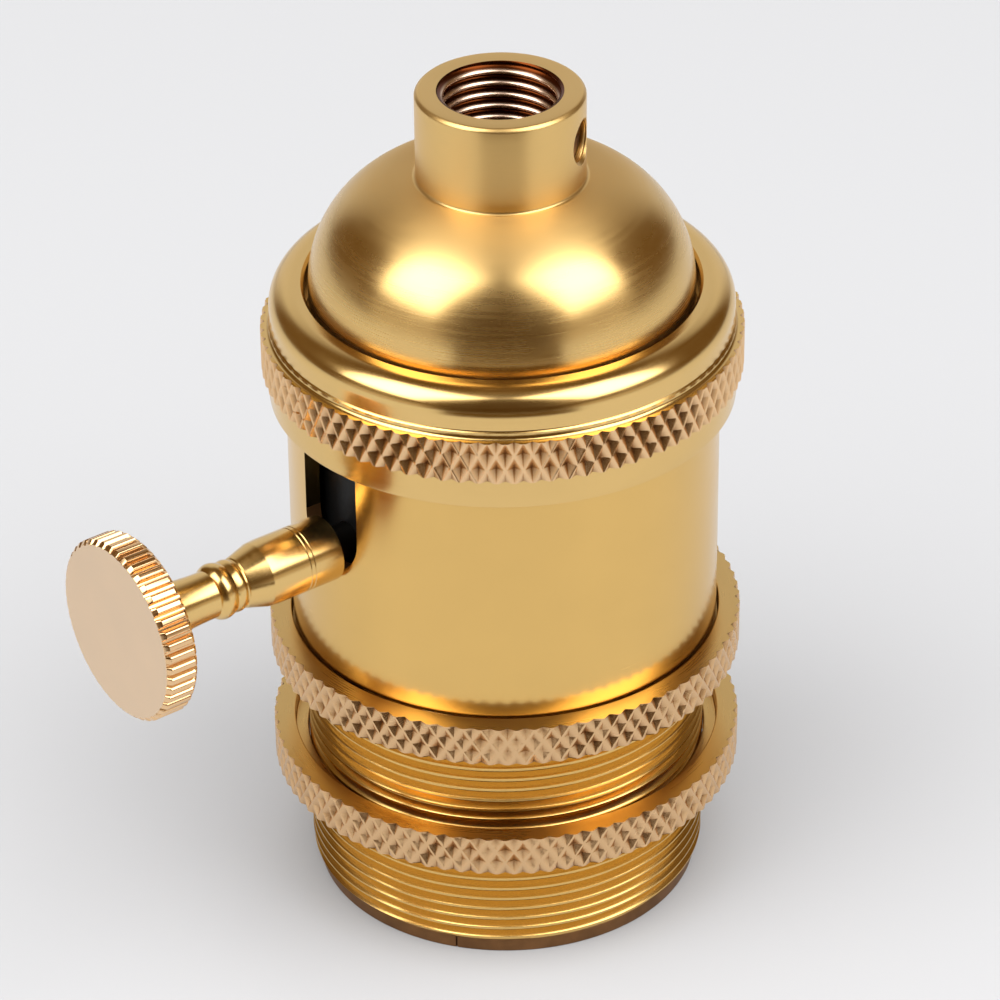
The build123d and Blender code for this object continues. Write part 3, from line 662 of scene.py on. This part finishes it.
def turned_material(name, colour, roughness, streaks, cloud=0.06, on_knob=False, anisotropy=0.0, grain=0.0,
                    rougher=None, painted_root_shade=None):
    """Turned brass: fine marks round the piece, faint clouds in its tone and polish

    rougher: two heights and how much rougher it gets between them. painted_root_shade: the radii of
    crests and roots, and the name of the dark tone blended in towards the roots, which paints their shade.
    """
    material, tree = new_material(name)
    place = out(put(tree, "ShaderNodeTexCoord"), "Object")
    if on_knob:
        place = out(put(tree, "ShaderNodeMapping", Vector=place, Location=(-KNOB_Z * MM, 0, 0),
                        Rotation=(0, math.pi / 2, 0)))
    x, y, z = parted(tree, place)
    radius = (x * x + y * y).math('SQRT') + 0.01 * MM
    marks_at = joined(tree, x / radius * MARK_SWEEP, y / radius * MARK_SWEEP, (z + radius) * MARK_SCALE)
    marks = noise(tree, marks_at, 1.0, 4.0, Roughness=0.62)
    clouds = noise(tree, place, CLOUD_SCALE, 3.0)
    speck = noise(tree, place, SPECK_SCALE, 2.0)
    shade = tinted(tree, colour, (clouds - 0.5) * 2.0 * cloud + (marks - 0.5) * cloud + 1.0)
    # Painted shade: the colour darkens from the crests down to the roots of pockets and threads
    if painted_root_shade:
        crest_r, root_r, root_shade_tone = painted_root_shade
        root_shade_colour = (*getattr(bpy.context.scene.socket_finishes, root_shade_tone), 1.0)
        shade = blend(tree, between(radius, crest_r * MM, root_r * MM), shade, root_shade_colour)
    if rougher:
        start, end, extra = rougher
        roughness = between(z, start * MM, end * MM) * extra + roughness
    rough = ((clouds - 0.5) * CLOUD_ROUGHNESS + (marks - 0.5) * MARK_ROUGHNESS + roughness).clamped()
    bump = put(tree, "ShaderNodeBump", Height=marks * streaks + speck * grain, Strength=1.0, Distance=TOUCH)
    bsdf = put(tree, "ShaderNodeBsdfPrincipled", Base_Color=shade, Metallic=1.0, Roughness=rough,
               Normal=out(bump), Anisotropic=anisotropy, Anisotropic_Rotation=QUARTER_TURN)
    if anisotropy:
        tangent = put(tree, "ShaderNodeTangent", {"direction_type": 'RADIAL', "axis": 'X' if on_knob else 'Z'})
        feed(tree, bsdf.inputs["Tangent"], out(tangent))
    return surfaced(material, bsdf)


def plain_material(name, colour, roughness, metallic=0.0, cloud=0.1, grain=1.0, scale=900.0, gloss=0.5):
    """A material with soft clouds in its tone and a fine grain in its surface"""
    material, tree = new_material(name)
    place = out(put(tree, "ShaderNodeTexCoord"), "Object")
    clouds = noise(tree, place, scale / 6, 3.0)
    specks = noise(tree, place, scale * 3, 3.0)
    shade = tinted(tree, colour, (clouds - 0.5) * 2.0 * cloud + 1.0)
    rough = ((specks - 0.5) * SPECK_ROUGHNESS + roughness).clamped()
    bump = put(tree, "ShaderNodeBump", Height=specks * grain, Strength=1.0, Distance=2 * TOUCH)
    return surfaced(material, put(tree, "ShaderNodeBsdfPrincipled", Base_Color=shade, Metallic=metallic,
                                  Roughness=rough, Normal=out(bump), Specular_IOR_Level=gloss))


# Each finish: its tone, its roughness and its other settings
TURNED_FINISHES = {
    "polished brass": ("bright_brass", 0.22, dict(streaks=0.15, anisotropy=0.2)),
    "thread brass": ("bright_brass", 0.2, dict(streaks=0.2)),
    "satin brass": ("satin_brass", 0.265, dict(streaks=0.3, anisotropy=0.5, rougher=(61.5, 64.4, 0.3))),
    "neck brass": ("satin_brass", 0.36, dict(streaks=0.1, anisotropy=0.3)),
    # The neck's thread darkens towards its roots: painted shade
    "bore brass": ("bore_brass", 0.26, dict(streaks=0.0, painted_root_shade=(4.5, 4.78, "neck_root_shade"))),
    "crown brass": ("satin_brass", 0.2, dict(streaks=0.25, anisotropy=0.1)),
    # The knurls darken towards the roots of their pockets: painted shade
    "raw brass": ("raw_brass", 0.22, dict(streaks=0.4, grain=1.4, painted_root_shade=(19.43, 18.95, "knurl_root_shade"))),
    "worn brass": ("worn_brass", 0.24, dict(streaks=0.4, grain=1.6, painted_root_shade=(19.5, 19.1, "knurl_root_shade"))),
    "ring brass": ("satin_brass", 0.3, dict(streaks=0.5)),
    "stem brass": ("satin_brass", 0.21, dict(streaks=0.9, on_knob=True, anisotropy=0.3)),
    "rim brass": ("raw_brass", 0.2, dict(streaks=0.2, on_knob=True, grain=0.8)),
    "faced brass": ("face_brass", 0.42, dict(streaks=0.8, on_knob=True)),
}
PLAIN_FINISHES = {
    # Dark as painted shade in the foot's lip, the slot and the screw hole
    "dull brass": ("dull_shaded_brass", 0.45, dict(metallic=0.8, cloud=0.6, grain=2.5, scale=2400.0)),
    "fitting brass": ("fitting_brass", 0.3, dict(metallic=1.0)),
    "rolled bronze": ("bronze", 0.34, dict(metallic=1.0)),
    "spring steel": ("steel", 0.3, dict(metallic=1.0)),
    "plated steel": ("steel", 0.22, dict(metallic=1.0)),
    # Near-black: painted shade for the shaft in the slot
    "blackened steel": ("shaft_in_shade", 0.45, dict(metallic=1.0)),
    "black moulding": ("moulding", 0.42, dict(grain=1.4, gloss=0.15)),
    "brown fibre": ("fibre", 0.6, dict(cloud=0.25, grain=3.0)),
}


def finish(name):
    """A finish by name, made at its first use"""
    if name in bpy.data.materials:
        return bpy.data.materials[name]
    make, finishes = ((turned_material, TURNED_FINISHES) if name in TURNED_FINISHES
                      else (plain_material, PLAIN_FINISHES))
    tone_name, roughness, settings = finishes[name]
    return make(name, getattr(bpy.context.scene.socket_finishes, tone_name), roughness, **settings)


def threaded(mesh, low, high, crest_r, root_r, end_r, steps, finish_name, pitch=None, run_out=0.55,
             inside=False, flats=(0.22, 0.17), rounded_share=0.0, rows=THREAD_ROWS):
    """The mesh with a thread's skin between its two open edges; sizes in millimetres"""
    pitch = pitch or bpy.context.scene.socket_sizes.fine_pitch / MM
    return regrown(mesh, "Screw thread", {
        **in_metres(Low=low, High=high, Crest_radius=crest_r, Root_radius=root_r, End_radius=end_r, Pitch=pitch),
        "Run-out": run_out * MM, "Rows in a turn": rows, "Steps": steps, "Root flat": flats[0],
        "Crest flat": flats[1], "Rounded": rounded_share, "Inside": inside, "Finish": finish(finish_name)})


class SOCKET_OT_shell(bpy.types.Operator):
    """Builds the shell: threaded tube, barrel with the slot for the shaft, and union thread"""
    bl_idname = "socket.shell"
    bl_label = "Shell"

    def execute(self, context):
        depth = context.scene.socket_sizes.thread_depth / MM
        shade_root, union_root = SHADE_CREST_R - depth, UNION_CREST_R - depth
        shade_low, (union_low, union_high) = LIP_H + LIP_R - shade_root, UNION_THREAD_Z
        lathe = Lathe()
        foot = [(union_root, union_high), (union_root, SHELL_TOP_Z), (SHELL_BORE_R, SHELL_TOP_Z),
                (SHELL_BORE_R, SEAT_Z), (TUBE_BORE_R, SEAT_Z), (TUBE_BORE_R, 0.0), (LIP_R, 0.0), (LIP_R, LIP_H),
                (shade_root, shade_low)]
        lathe.walk(divided(rounded(foot, 0.12), 4.0), TURNED_STEPS)
        barrel = [(shade_root, SHADE_THREAD_TOP_Z), (shade_root, BARREL_LOW_Z), (BARREL_R, BARREL_LOW_Z),
                  (BARREL_R, UNION_NECK_Z), (union_root, UNION_NECK_Z), (union_root, union_low)]
        lathe.walk(divided(rounded(barrel, 0.25), 2.0), TURNED_STEPS)
        mesh = lathe.mesh("shell")
        for low, high, crest_r, root_r in ((shade_low, SHADE_THREAD_TOP_Z, SHADE_CREST_R, shade_root),
                                           (union_low, union_high, UNION_CREST_R, union_root)):
            mesh = threaded(mesh, low, high, crest_r, root_r, root_r, TURNED_STEPS, "polished brass")
        mesh = cut_from(cut_from(mesh, slot_cutter()), nick_cutter())
        lip_top, thread_top, wall_low, wall_r = 1.2, 24.4, 26.0, 17.45
        # The foot's lip and the walls inside the slot are made dark: painted shade
        dressed(mesh, "polished brass", ("thread brass", lambda r, z: z < thread_top),
                ("dull brass", lambda r, z: (z < lip_top) | ((r < wall_r) & (z > wall_low) & (z < UNION_NECK_Z))))
        show("shell", mesh, "holder", ["shell_body"])
        return {'FINISHED'}


def nick_cutter():
    """A thin upright wedge, for the nick in the foot's lip"""
    ahead, side = towards(NICK_AZIMUTH, 0.0), towards(NICK_AZIMUTH + 90.0, 0.0) * NICK_HALF_W
    near, far = NICK_R
    outline = [ahead * near, ahead * far - side, ahead * far + side]
    return prism("nick", *([(p.x, p.y, z) for p in outline] for z in (-0.5, LIP_H)))


def slot_cutter():
    """An upright bar with a round foot, for the slot that the shaft drops into"""
    top = SHELL_TOP_Z + 1.0
    outline = [(-SLOT_HALF_W, top), (-SLOT_HALF_W, SLOT_ARCH_Z)]
    outline += [(SLOT_HALF_W * math.sin(a), SLOT_ARCH_Z - SLOT_HALF_W * math.cos(a))
                for a in np.linspace(-math.pi / 2, math.pi / 2, 25)]
    outline += [(SLOT_HALF_W, top)]
    return prism("slot", *([(x, y, z) for y, z in outline] for x in (-20.0, -10.0)))


class SOCKET_OT_cap(bpy.types.Operator):
    """Builds the cap: flange, dome and threaded neck with the hole for its set screw"""
    bl_idname = "socket.cap"
    bl_label = "Cap"

    def execute(self, context):
        centre_r, centre_z = DOME_CENTRE
        skirt_r, hollow_r = centre_r + DOME_BEND, centre_r + HOLLOW_BEND
        meet = math.degrees(math.acos((NECK_R - centre_r) / DOME_BEND))
        inner_meet = math.degrees(math.acos((NECK_BORE_R - centre_r) / HOLLOW_BEND))
        hollow = arc(centre_r, centre_z, HOLLOW_BEND, inner_meet, 0, 24)
        skirt = rounded([hollow[-1], (hollow_r, SHELL_TOP_Z), (FLANGE_R, SHELL_TOP_Z), (FLANGE_R, FLANGE_TOP_Z),
                         (skirt_r, FLANGE_TOP_Z), (skirt_r, centre_z)], 0.08)
        dome = arc(centre_r, centre_z, DOME_BEND, 0, meet, 72)
        neck = rounded([dome[-4], dome[-1], (NECK_R, NECK_TOP_Z - NECK_CHAMFER),
                        (NECK_R - NECK_CHAMFER, NECK_TOP_Z), (NECK_BORE_R + 0.01, NECK_TOP_Z)], 0.3)
        lathe = Lathe()
        lathe.walk(hollow + skirt[1:] + dome[1:-4] + divided(neck, 1.0), TURNED_STEPS)
        mesh = threaded(lathe.mesh("cap"), hollow[0][1], NECK_TOP_Z, NECK_MINOR_R, NECK_BORE_R, NECK_BORE_R,
                        TURNED_STEPS, "satin brass", inside=True, run_out=0.3, flats=(0.1, 0.3), rounded_share=0.9)
        mesh = cut_from(mesh, screw_hole_cutter())
        neck_low, bore_low, bore_r = 64.5, 62.0, 5.05
        dressed(mesh, "satin brass", ("neck brass", lambda r, z: z > neck_low),
                ("bore brass", lambda r, z: (r < bore_r) & (z > bore_low)))
        show("cap", mesh, "holder", ["cap_dome"])
        return {'FINISHED'}


def screw_hole_cutter():
    """A threaded bar with an opened-out mouth, for the hole of the neck's set screw"""
    start, end, beyond = 4.0, 6.5, 9.0
    lathe = Lathe()
    lathe.walk([(0.0, 0.0), (SCREW_MINOR_R, 0.0), (SCREW_MINOR_R, start)], HOLE_STEPS)
    lathe.walk([(SCREW_MINOR_R, end), (SCREW_MOUTH_R, end + SCREW_MOUTH_R - SCREW_MINOR_R),
                (SCREW_MOUTH_R, beyond), (0.0, beyond)], HOLE_STEPS)
    mesh = threaded(lathe.mesh("hole"), start, end, SCREW_MAJOR_R, SCREW_MINOR_R, SCREW_MINOR_R, HOLE_STEPS,
                    "satin brass", pitch=0.6, run_out=0.2)
    axis = Matrix.Rotation(SCREW_HOLE_TURN, 4, 'Z') @ Matrix.Rotation(math.pi / 2, 4, 'Y')
    mesh.transform(Matrix.Translation((0, 0, SCREW_HOLE_Z * MM)) @ axis)
    return outward(mesh)


class SOCKET_OT_union_ring(bpy.types.Operator):
    """Builds the crowned ring with its crossed knurl"""
    bl_idname = "socket.union_ring"
    bl_label = "Union Ring"

    def execute(self, context):
        sizes = context.scene.socket_sizes
        low, high = UNION_KNURL_Z
        top = (16.08, CROWN_TOP_Z)
        bore = rounded([top, (15.83, 54.95), (15.83, 52.02), (17.28, 52.02), (17.28, 46.3), (17.65, 46.3),
                        (17.65, 45.3), (18.85, 45.3), (18.85, low)], 0.1)
        ledge = arc(CROWN_R + 0.4, high + 0.4, 0.4, -90, -180, 8)
        line = [(CROWN_R, 51.95), (CROWN_R - 0.12, 52.07), (CROWN_R, 52.19)]
        crown = arc(CROWN_R - CROWN_BEND, CROWN_TOP_Z - CROWN_BEND, CROWN_BEND, 0, 90, 32)
        mesh = knurled(divided(bore, 2.0)[1:], ledge + line + crown + [top], UNION_KNURL_Z, UNION_KNURL_R,
                       low - 0.17 + sizes.union_pocket_h / MM / 2, sizes.union_pockets, sizes.union_pocket_h,
                       sizes.union_pocket_depth, sizes.union_pocket_turn, ridge=0.04, unevenness=0.1, seed=1.0,
                       main="crown brass", band_finish="raw brass")
        show("union_ring_body", mesh, "cap_ring", ["union_ring"])
        return {'FINISHED'}


class SOCKET_OT_shade_rings(bpy.types.Operator):
    """Builds the two shade rings with their shallow crossed knurl"""
    bl_idname = "socket.shade_rings"
    bl_label = "Shade Rings"

    def execute(self, context):
        sizes = context.scene.socket_sizes
        for name, low, start, seed in (("upper", UPPER_RING_Z, sizes.upper_pocket_turn, 2.0),
                                       ("lower", LOWER_RING_Z, sizes.lower_pocket_turn, 3.0)):
            high = low + SHADE_RING_H
            bore = rounded([(18.9, high), (17.72, high), (17.72, high - 1.2), (16.63, high - 1.2), (16.63, low),
                            (19.1, low)], 0.12)
            mesh = knurled([(18.0, low), (19.1, low)], [(19.2, high)] + bore[:-1], (low, high), SHADE_RING_R,
                           low + 0.06, sizes.shade_pockets, sizes.shade_pocket_h, sizes.shade_pocket_depth, start,
                           ridge=0.12, unevenness=0.35, seed=seed, main="ring brass", band_finish="worn brass")
            show(name + "_ring", mesh, name + "_shade_ring", ["shade_ring_" + name])
        return {'FINISHED'}


class SOCKET_OT_knob(bpy.types.Operator):
    """Builds the turn knob: knurled disc and turned stem"""
    bl_idname = "socket.knob"
    bl_label = "Turn Knob"

    def execute(self, context):
        teeth = context.scene.socket_sizes.knob_teeth
        steps = teeth * TOOTH_CUTS
        lathe = Lathe()
        line = 20.55
        stem = rounded([(0.0, 25.85), (SHAFT_R, 25.85), (SHAFT_R, 17.85), (STEM_R, 17.85), (STEM_R, line)], 0.12)
        scribed = []
        for at in (line, line + 0.4):
            scribed += [(STEM_R, at), (STEM_R - 0.05, at + 0.05), (STEM_R, at + 0.1)]
        cone = rounded([(STEM_R, line + 0.8), (STEM_R, 23.7), (2.66, 24.5), (2.1, 26.42), (2.0, 26.48),
                        (2.0, 26.62)], 0.06)
        beads = bead(26.62, 27.6, 2.0, 2.1, 2.18) + bead(27.6, 29.15, 2.1, 1.95, 2.33)[1:]
        neck = [(1.95 + 0.5 * t ** 2, 29.15 + 5.15 * t) for t in np.linspace(0, 1, 14)]
        foot = arc(3.15, 34.3, 0.7, 180, 90, 8)
        disc = rounded([foot[-1], (6.9, DISC_BACK), (7.2, DISC_BACK), (KNOB_R, 35.35), (KNOB_R, 37.45),
                        (7.2, KNOB_END), (6.9, KNOB_END), (3.0, KNOB_END), (0.0, KNOB_END)], 0.08)
        whole = stem[:-1] + scribed + cone + beads[1:] + neck[1:] + foot[1:] + disc[1:]
        fine_from, fine_r = DISC_BACK - 0.1, 6.5
        rings = [lathe.ring(radius, along, steps if along > fine_from and radius > fine_r else steps // 8)
                 for radius, along in whole]
        for lower, upper in zip(rings, rings[1:]):
            lathe.join(lower, upper)
        mesh = regrown(lathe.mesh("knob"), "Straight knurl", {
            **in_metres(Bottom=DISC_BACK, Top=KNOB_END, Crest_radius=KNOB_R, Tooth_depth=TOOTH_DEPTH, Rim=RIM_R),
            "Teeth": float(teeth), "Finish": finish("stem brass"), "Band finish": finish("faced brass"),
            "Rim finish": finish("rim brass")})
        mesh.transform(Matrix.Translation((0, 0, KNOB_Z * MM)) @ Matrix.Rotation(-math.pi / 2, 4, 'Y'))
        show("knob_and_stem", mesh, "turn_knob", ["knob"])
        return {'FINISHED'}


def bead(start, end, start_r, end_r, crest_r, cuts=14):
    """Profile of one turned bead, through its crest halfway"""
    fullness = 0.8
    made = []
    for t in np.linspace(0, 1, cuts + 1):
        low_r = start_r + (end_r - start_r) * t
        rise = math.sin(math.pi * t) ** fullness
        made.append((low_r + (crest_r - low_r) * rise, start + (end - start) * t))
    return made


class SOCKET_OT_lamp_thread(bpy.types.Operator):
    """Builds the rolled lamp thread"""
    bl_idname = "socket.lamp_thread"
    bl_label = "Lamp Thread"

    def execute(self, context):
        pitch = context.scene.socket_sizes.lamp_pitch / MM
        lathe = Lathe()
        (low, high), (inner_r, outer_r) = LAMP_THREAD_Z, LAMP_WALL_R
        mouth = rounded([(inner_r, low), (13.3, 3.25), (13.65, 3.25), (outer_r, low)], 0.1)
        top = rounded([(outer_r, high), (outer_r, 24.0), (LAMP_HOLE_R, 24.0), (LAMP_HOLE_R, 23.65),
                       (inner_r, 23.65), (inner_r, high)], 0.15)
        lathe.walk(mouth, LAMP_STEPS)
        lathe.walk(top, LAMP_STEPS)
        mesh = lathe.mesh("lamp thread")
        for middle_r, inside in ((outer_r, False), (inner_r, True)):
            mesh = threaded(mesh, low, high, middle_r + LAMP_WAVE, middle_r - LAMP_WAVE, middle_r, LAMP_STEPS,
                            "fitting brass", pitch=pitch, run_out=1.2, inside=inside, rounded_share=1.0, rows=20)
        for side in (-1, 1):
            hole = Lathe()
            hole.walk([(0.0, 22.0), (SCREW_PASS_R, 22.0), (SCREW_PASS_R, 25.0), (0.0, 25.0)], 32)
            cutter = hole.mesh("screw hole")
            cutter.transform(Matrix.Translation((0, side * SCREW_PASS_Y * MM, 0)))
            mesh = cut_from(mesh, cutter)
        show("rolled_lamp_thread", mesh, "holder", ["screw_shell"], finish("fitting brass"))
        return {'FINISHED'}


# The set screw is made dark as painted shade in its hole, and the switch's shaft as painted shade in the slot
NODE_FINISHES = {
    "set_screw": "dull brass", "switch_shaft": "blackened steel", "switch_rotor": "black moulding",
    "rotor_contact": "fitting brass", "shaft_clip": "spring steel", "index_spring": "spring steel",
    "switch_body": "black moulding", "switch_cover": "black moulding", "line_terminal": "fitting brass",
    "neutral_terminal": "fitting brass", "binding_screws": "fitting brass", "through_screws": "plated steel",
    "clamp_nuts": "plated steel", "centre_contact": "rolled bronze", "centre_rivet": "fitting brass",
    "fibre_liner": "brown fibre",
}


class SOCKET_OT_switch_finishes(bpy.types.Operator):
    """Gives the CAD's own switch pieces, screws and contacts their finishes"""
    bl_idname = "socket.switch_finishes"
    bl_label = "Switch Finishes"

    def execute(self, context):
        for node, finish_name in NODE_FINISHES.items():
            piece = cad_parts[node]
            piece.data.materials.clear()
            piece.data.materials.append(finish(finish_name))
        return {'FINISHED'}


class SOCKET_OT_stage(bpy.types.Operator):
    """Sets up the pale floor, the soft lamps, the dim room that the brass mirrors, and the camera"""
    bl_idname = "socket.stage"
    bl_label = "Stage"

    def execute(self, context):
        scene = context.scene
        square = [(x * FLOOR_REACH, y * FLOOR_REACH) for x, y in ((-1, -1), (1, -1), (1, 1), (-1, 1))]
        flat_piece("floor", square, -0.01 * MM, floor_material(scene.socket_finishes.floor_tone))
        front = flat_piece("front_card", sector(*FRONT_CARD), 1.0 * MM, glow_material("dim front", CARD_TONE))
        for unseen in (front, room_shell()):
            unseen.visible_camera = False
            unseen.visible_diffuse = False
            unseen.visible_shadow = False
            unseen.visible_transmission = False
        scene.world = studio_world()
        for settings in SOFT_BOXES:
            soft_box(*settings)
        bpy.data.objects["overhead"].visible_glossy = False
        add_camera(scene)
        scene.view_settings.view_transform = 'Standard'
        return {'FINISHED'}


CAMERA_PLACE = (-0.19899, -0.26739, 0.24419)
CAMERA_AHEAD = (0.5962, 0.8028)
CAMERA_PITCH = math.radians(32.213)
CAMERA_ROLL = -0.01006
CAMERA_LENS = 172.8
SENSOR_WIDTH = 36.0
NEAREST_SEEN = 0.01
FRONT_AZIMUTH = -36.6      # of the camera, which the lamps and cards are set out from
FLOOR_REACH = 3.0
ROOM_RADIUS = 2.0
CARD_TONE = (0.13, 0.075, 0.02)
DIM_FRONT = (0.085, 0.045, 0.01)
DIM_SIDES = (0.16, 0.09, 0.025)
PALE_BACK = (0.78, 0.76, 0.74)
FRONT_CARD = (0.15, 1.2, -27.0, 33.0)      # near and far edge, start and end azimuth
BELT = (0.62, 0.54, 0.44)
# Azimuth, elevation, width, height and radiance. The overhead lamp is for the floor: the brass doesn't mirror it
SOFT_BOXES = [
    ("left box", -62.0, 49.0, 1.2, 1.5, 3.5),
    ("right box", 62.0, 49.0, 1.2, 1.5, 3.5),
    ("overhead", 0.0, 64.0, 1.8, 1.8, 3.1),
]
BOX_DISTANCE = 1.5
BOX_AIM_Z = 40.0
BOX_FADE = 0.5             # how much weaker a soft box is at its edges
FADE_START = 0.5           # and how far out from its middle that begins
BACKDROP = (0.80, 0.80, 0.81)


def towards(azimuth, elevation):
    """A direction from the object, counted from the camera's side"""
    a, e = math.radians(azimuth + FRONT_AZIMUTH), math.radians(elevation)
    return Vector((math.sin(a) * math.cos(e), -math.cos(a) * math.cos(e), math.sin(e)))


def stage_piece(name, mesh, material):
    """A piece of the stage, which isn't part of the object"""
    piece = placed(name, mesh)
    mesh.materials.append(material)
    return piece


def flat_piece(name, outline, height, material):
    """A flat stage piece at a height, facing up"""
    points = [(x, y, height) for x, y in outline]
    return stage_piece(name, mesh_of(name, points, [tuple(range(len(points)))]), material)


def sector(near, far, start, end, cuts=12):
    """Outline of a flat sector in front of the object"""
    sweep = [towards(start + (end - start) * k / cuts, 0.0) for k in range(cuts + 1)]
    return [(v.x * far, v.y * far) for v in sweep] + [(v.x * near, v.y * near) for v in reversed(sweep)]


def room_shell(rings=24, steps=64):
    """The inside of a dome over the stage"""
    lathe = Lathe()
    radius = ROOM_RADIUS / MM
    angles = np.linspace(0, math.pi / 2, rings)
    lathe.walk([(radius * math.cos(a), radius * math.sin(a)) for a in angles[:-1]] + [(0.0, radius)], steps)
    return stage_piece("room", lathe.mesh("room"), room_material())


def glow_material(name, colour):
    """Plain light of one colour, for what only the brass mirrors"""
    material, tree = new_material(name)
    return surfaced(material, put(tree, "ShaderNodeEmission", Color=(*colour, 1.0), Strength=1.0))


def room_material():
    """The room round the stage: dim in front and at the sides, pale behind and low beside the lamps"""
    material = glow_material("room", DIM_SIDES)
    tree = material.node_tree
    straight = put(tree, "ShaderNodeVectorMath", {"operation": 'NORMALIZE'})
    feed(tree, straight.inputs[0], out(put(tree, "ShaderNodeTexCoord"), "Object"))
    x, y, rise = parted(tree, out(straight))
    ahead = towards(0.0, 0.0)
    facing = (x * ahead.x + y * ahead.y) / (x * x + y * y + 0.0001).math('SQRT')
    behind = between(facing, -0.70, -0.92) * between(rise, 0.85, 0.5)
    front = between(facing, 0.80, 0.92)
    belt = between(facing, 0.05, 0.35) * between(facing, 0.9, 0.75) * between(rise, 0.25, 0.12)
    colour = (*DIM_SIDES, 1.0)
    for where, added in ((front, DIM_FRONT), (belt, BELT), (behind, PALE_BACK)):
        colour = blend(tree, where, colour, (*added, 1.0))
    feed(tree, tree.nodes["Emission"].inputs["Color"], colour)
    return material


def floor_material(colour):
    """Pale matt board, with the faintest unevenness"""
    material = bpy.data.materials.new("pale floor")
    material.use_nodes = True
    tree = material.node_tree
    bsdf = tree.nodes["Principled BSDF"]
    clouds = noise(tree, out(put(tree, "ShaderNodeTexCoord"), "Object"), 6.0, 1.0)
    feed(tree, bsdf.inputs["Base Color"], tinted(tree, colour, (clouds - 0.5) * 0.02 + 1.0))
    bsdf.inputs["Roughness"].default_value = 0.7
    bsdf.inputs["Specular IOR Level"].default_value = 0.15
    return material


def studio_world():
    """A pale backdrop, which is the floor's fill light too"""
    world = bpy.data.worlds.new("studio")
    world.use_nodes = True
    world.node_tree.nodes["Background"].inputs["Color"].default_value = (*BACKDROP, 1.0)
    return world


def soft_box(name, azimuth, elevation, width, height, radiance):
    """An area lamp that faces the middle of the object"""
    away = towards(azimuth, elevation)
    data = bpy.data.lights.new(name, 'AREA')
    data.shape = 'RECTANGLE'
    data.size, data.size_y = width, height
    data.energy = radiance * 4 * width * height
    lamp = placed(name, data)
    lamp.location = Vector((0, 0, BOX_AIM_Z * MM)) + away * BOX_DISTANCE
    lamp.rotation_euler = (-away).to_track_quat('-Z', 'Y').to_euler()
    data.use_nodes = True
    tree = data.node_tree
    across = parted(tree, out(tree.nodes.new("ShaderNodeNewGeometry"), "Parametric"))[:2]
    u, v = (((part - 0.5) * 2.0).size() for part in across)
    feed(tree, tree.nodes["Emission"].inputs["Strength"], 1.0 - between(u.most(v), FADE_START, 1.0) * BOX_FADE)


def add_camera(scene):
    """The camera at the photograph's place, with its long lens"""
    data = bpy.data.cameras.new("camera")
    data.lens, data.sensor_width, data.clip_start = CAMERA_LENS, SENSOR_WIDTH, NEAREST_SEEN
    camera = placed("camera", data)
    camera.location = CAMERA_PLACE
    level = math.cos(CAMERA_PITCH)
    ahead = Vector((CAMERA_AHEAD[0] * level, CAMERA_AHEAD[1] * level, -math.sin(CAMERA_PITCH)))
    camera.rotation_euler = (ahead.to_track_quat('-Z', 'Y').to_matrix().to_4x4()
                             @ Matrix.Rotation(CAMERA_ROLL, 4, 'Z')).to_euler()
    scene.camera = camera


class SOCKET_PT_panel(bpy.types.Panel):
    """Lists the lamp socket's pieces and their settings"""
    bl_idname = "SOCKET_PT_panel"
    bl_label = "Lamp Socket"
    bl_space_type = 'VIEW_3D'
    bl_region_type = 'UI'
    bl_category = "Lamp Socket"

    def draw(self, context):
        for group in (context.scene.socket_sizes, context.scene.socket_finishes):
            column = self.layout.column(align=True)
            for key in group.__annotations__:
                column.prop(group, key)
        column = self.layout.column(align=True)
        for step in STEPS:
            column.operator(step.bl_idname)


STEPS = (SOCKET_OT_shell, SOCKET_OT_cap, SOCKET_OT_union_ring, SOCKET_OT_shade_rings, SOCKET_OT_knob,
         SOCKET_OT_lamp_thread, SOCKET_OT_switch_finishes, SOCKET_OT_stage)
CLASSES = (SocketSizes, SocketFinishes, *STEPS, SOCKET_PT_panel)


def register():
    for cls in CLASSES:
        bpy.utils.register_class(cls)
    bpy.types.Scene.socket_sizes = PointerProperty(type=SocketSizes)
    bpy.types.Scene.socket_finishes = PointerProperty(type=SocketFinishes)


def unregister():
    del bpy.types.Scene.socket_sizes
    del bpy.types.Scene.socket_finishes
    for cls in reversed(CLASSES):
        bpy.utils.unregister_class(cls)


def main():
    register()
    bpy.ops.socket.shell()
    bpy.ops.socket.cap()
    bpy.ops.socket.union_ring()
    bpy.ops.socket.shade_rings()
    bpy.ops.socket.knob()
    bpy.ops.socket.lamp_thread()
    bpy.ops.socket.switch_finishes()
    bpy.ops.socket.stage()
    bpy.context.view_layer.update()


if __name__ == "__main__":
    main()
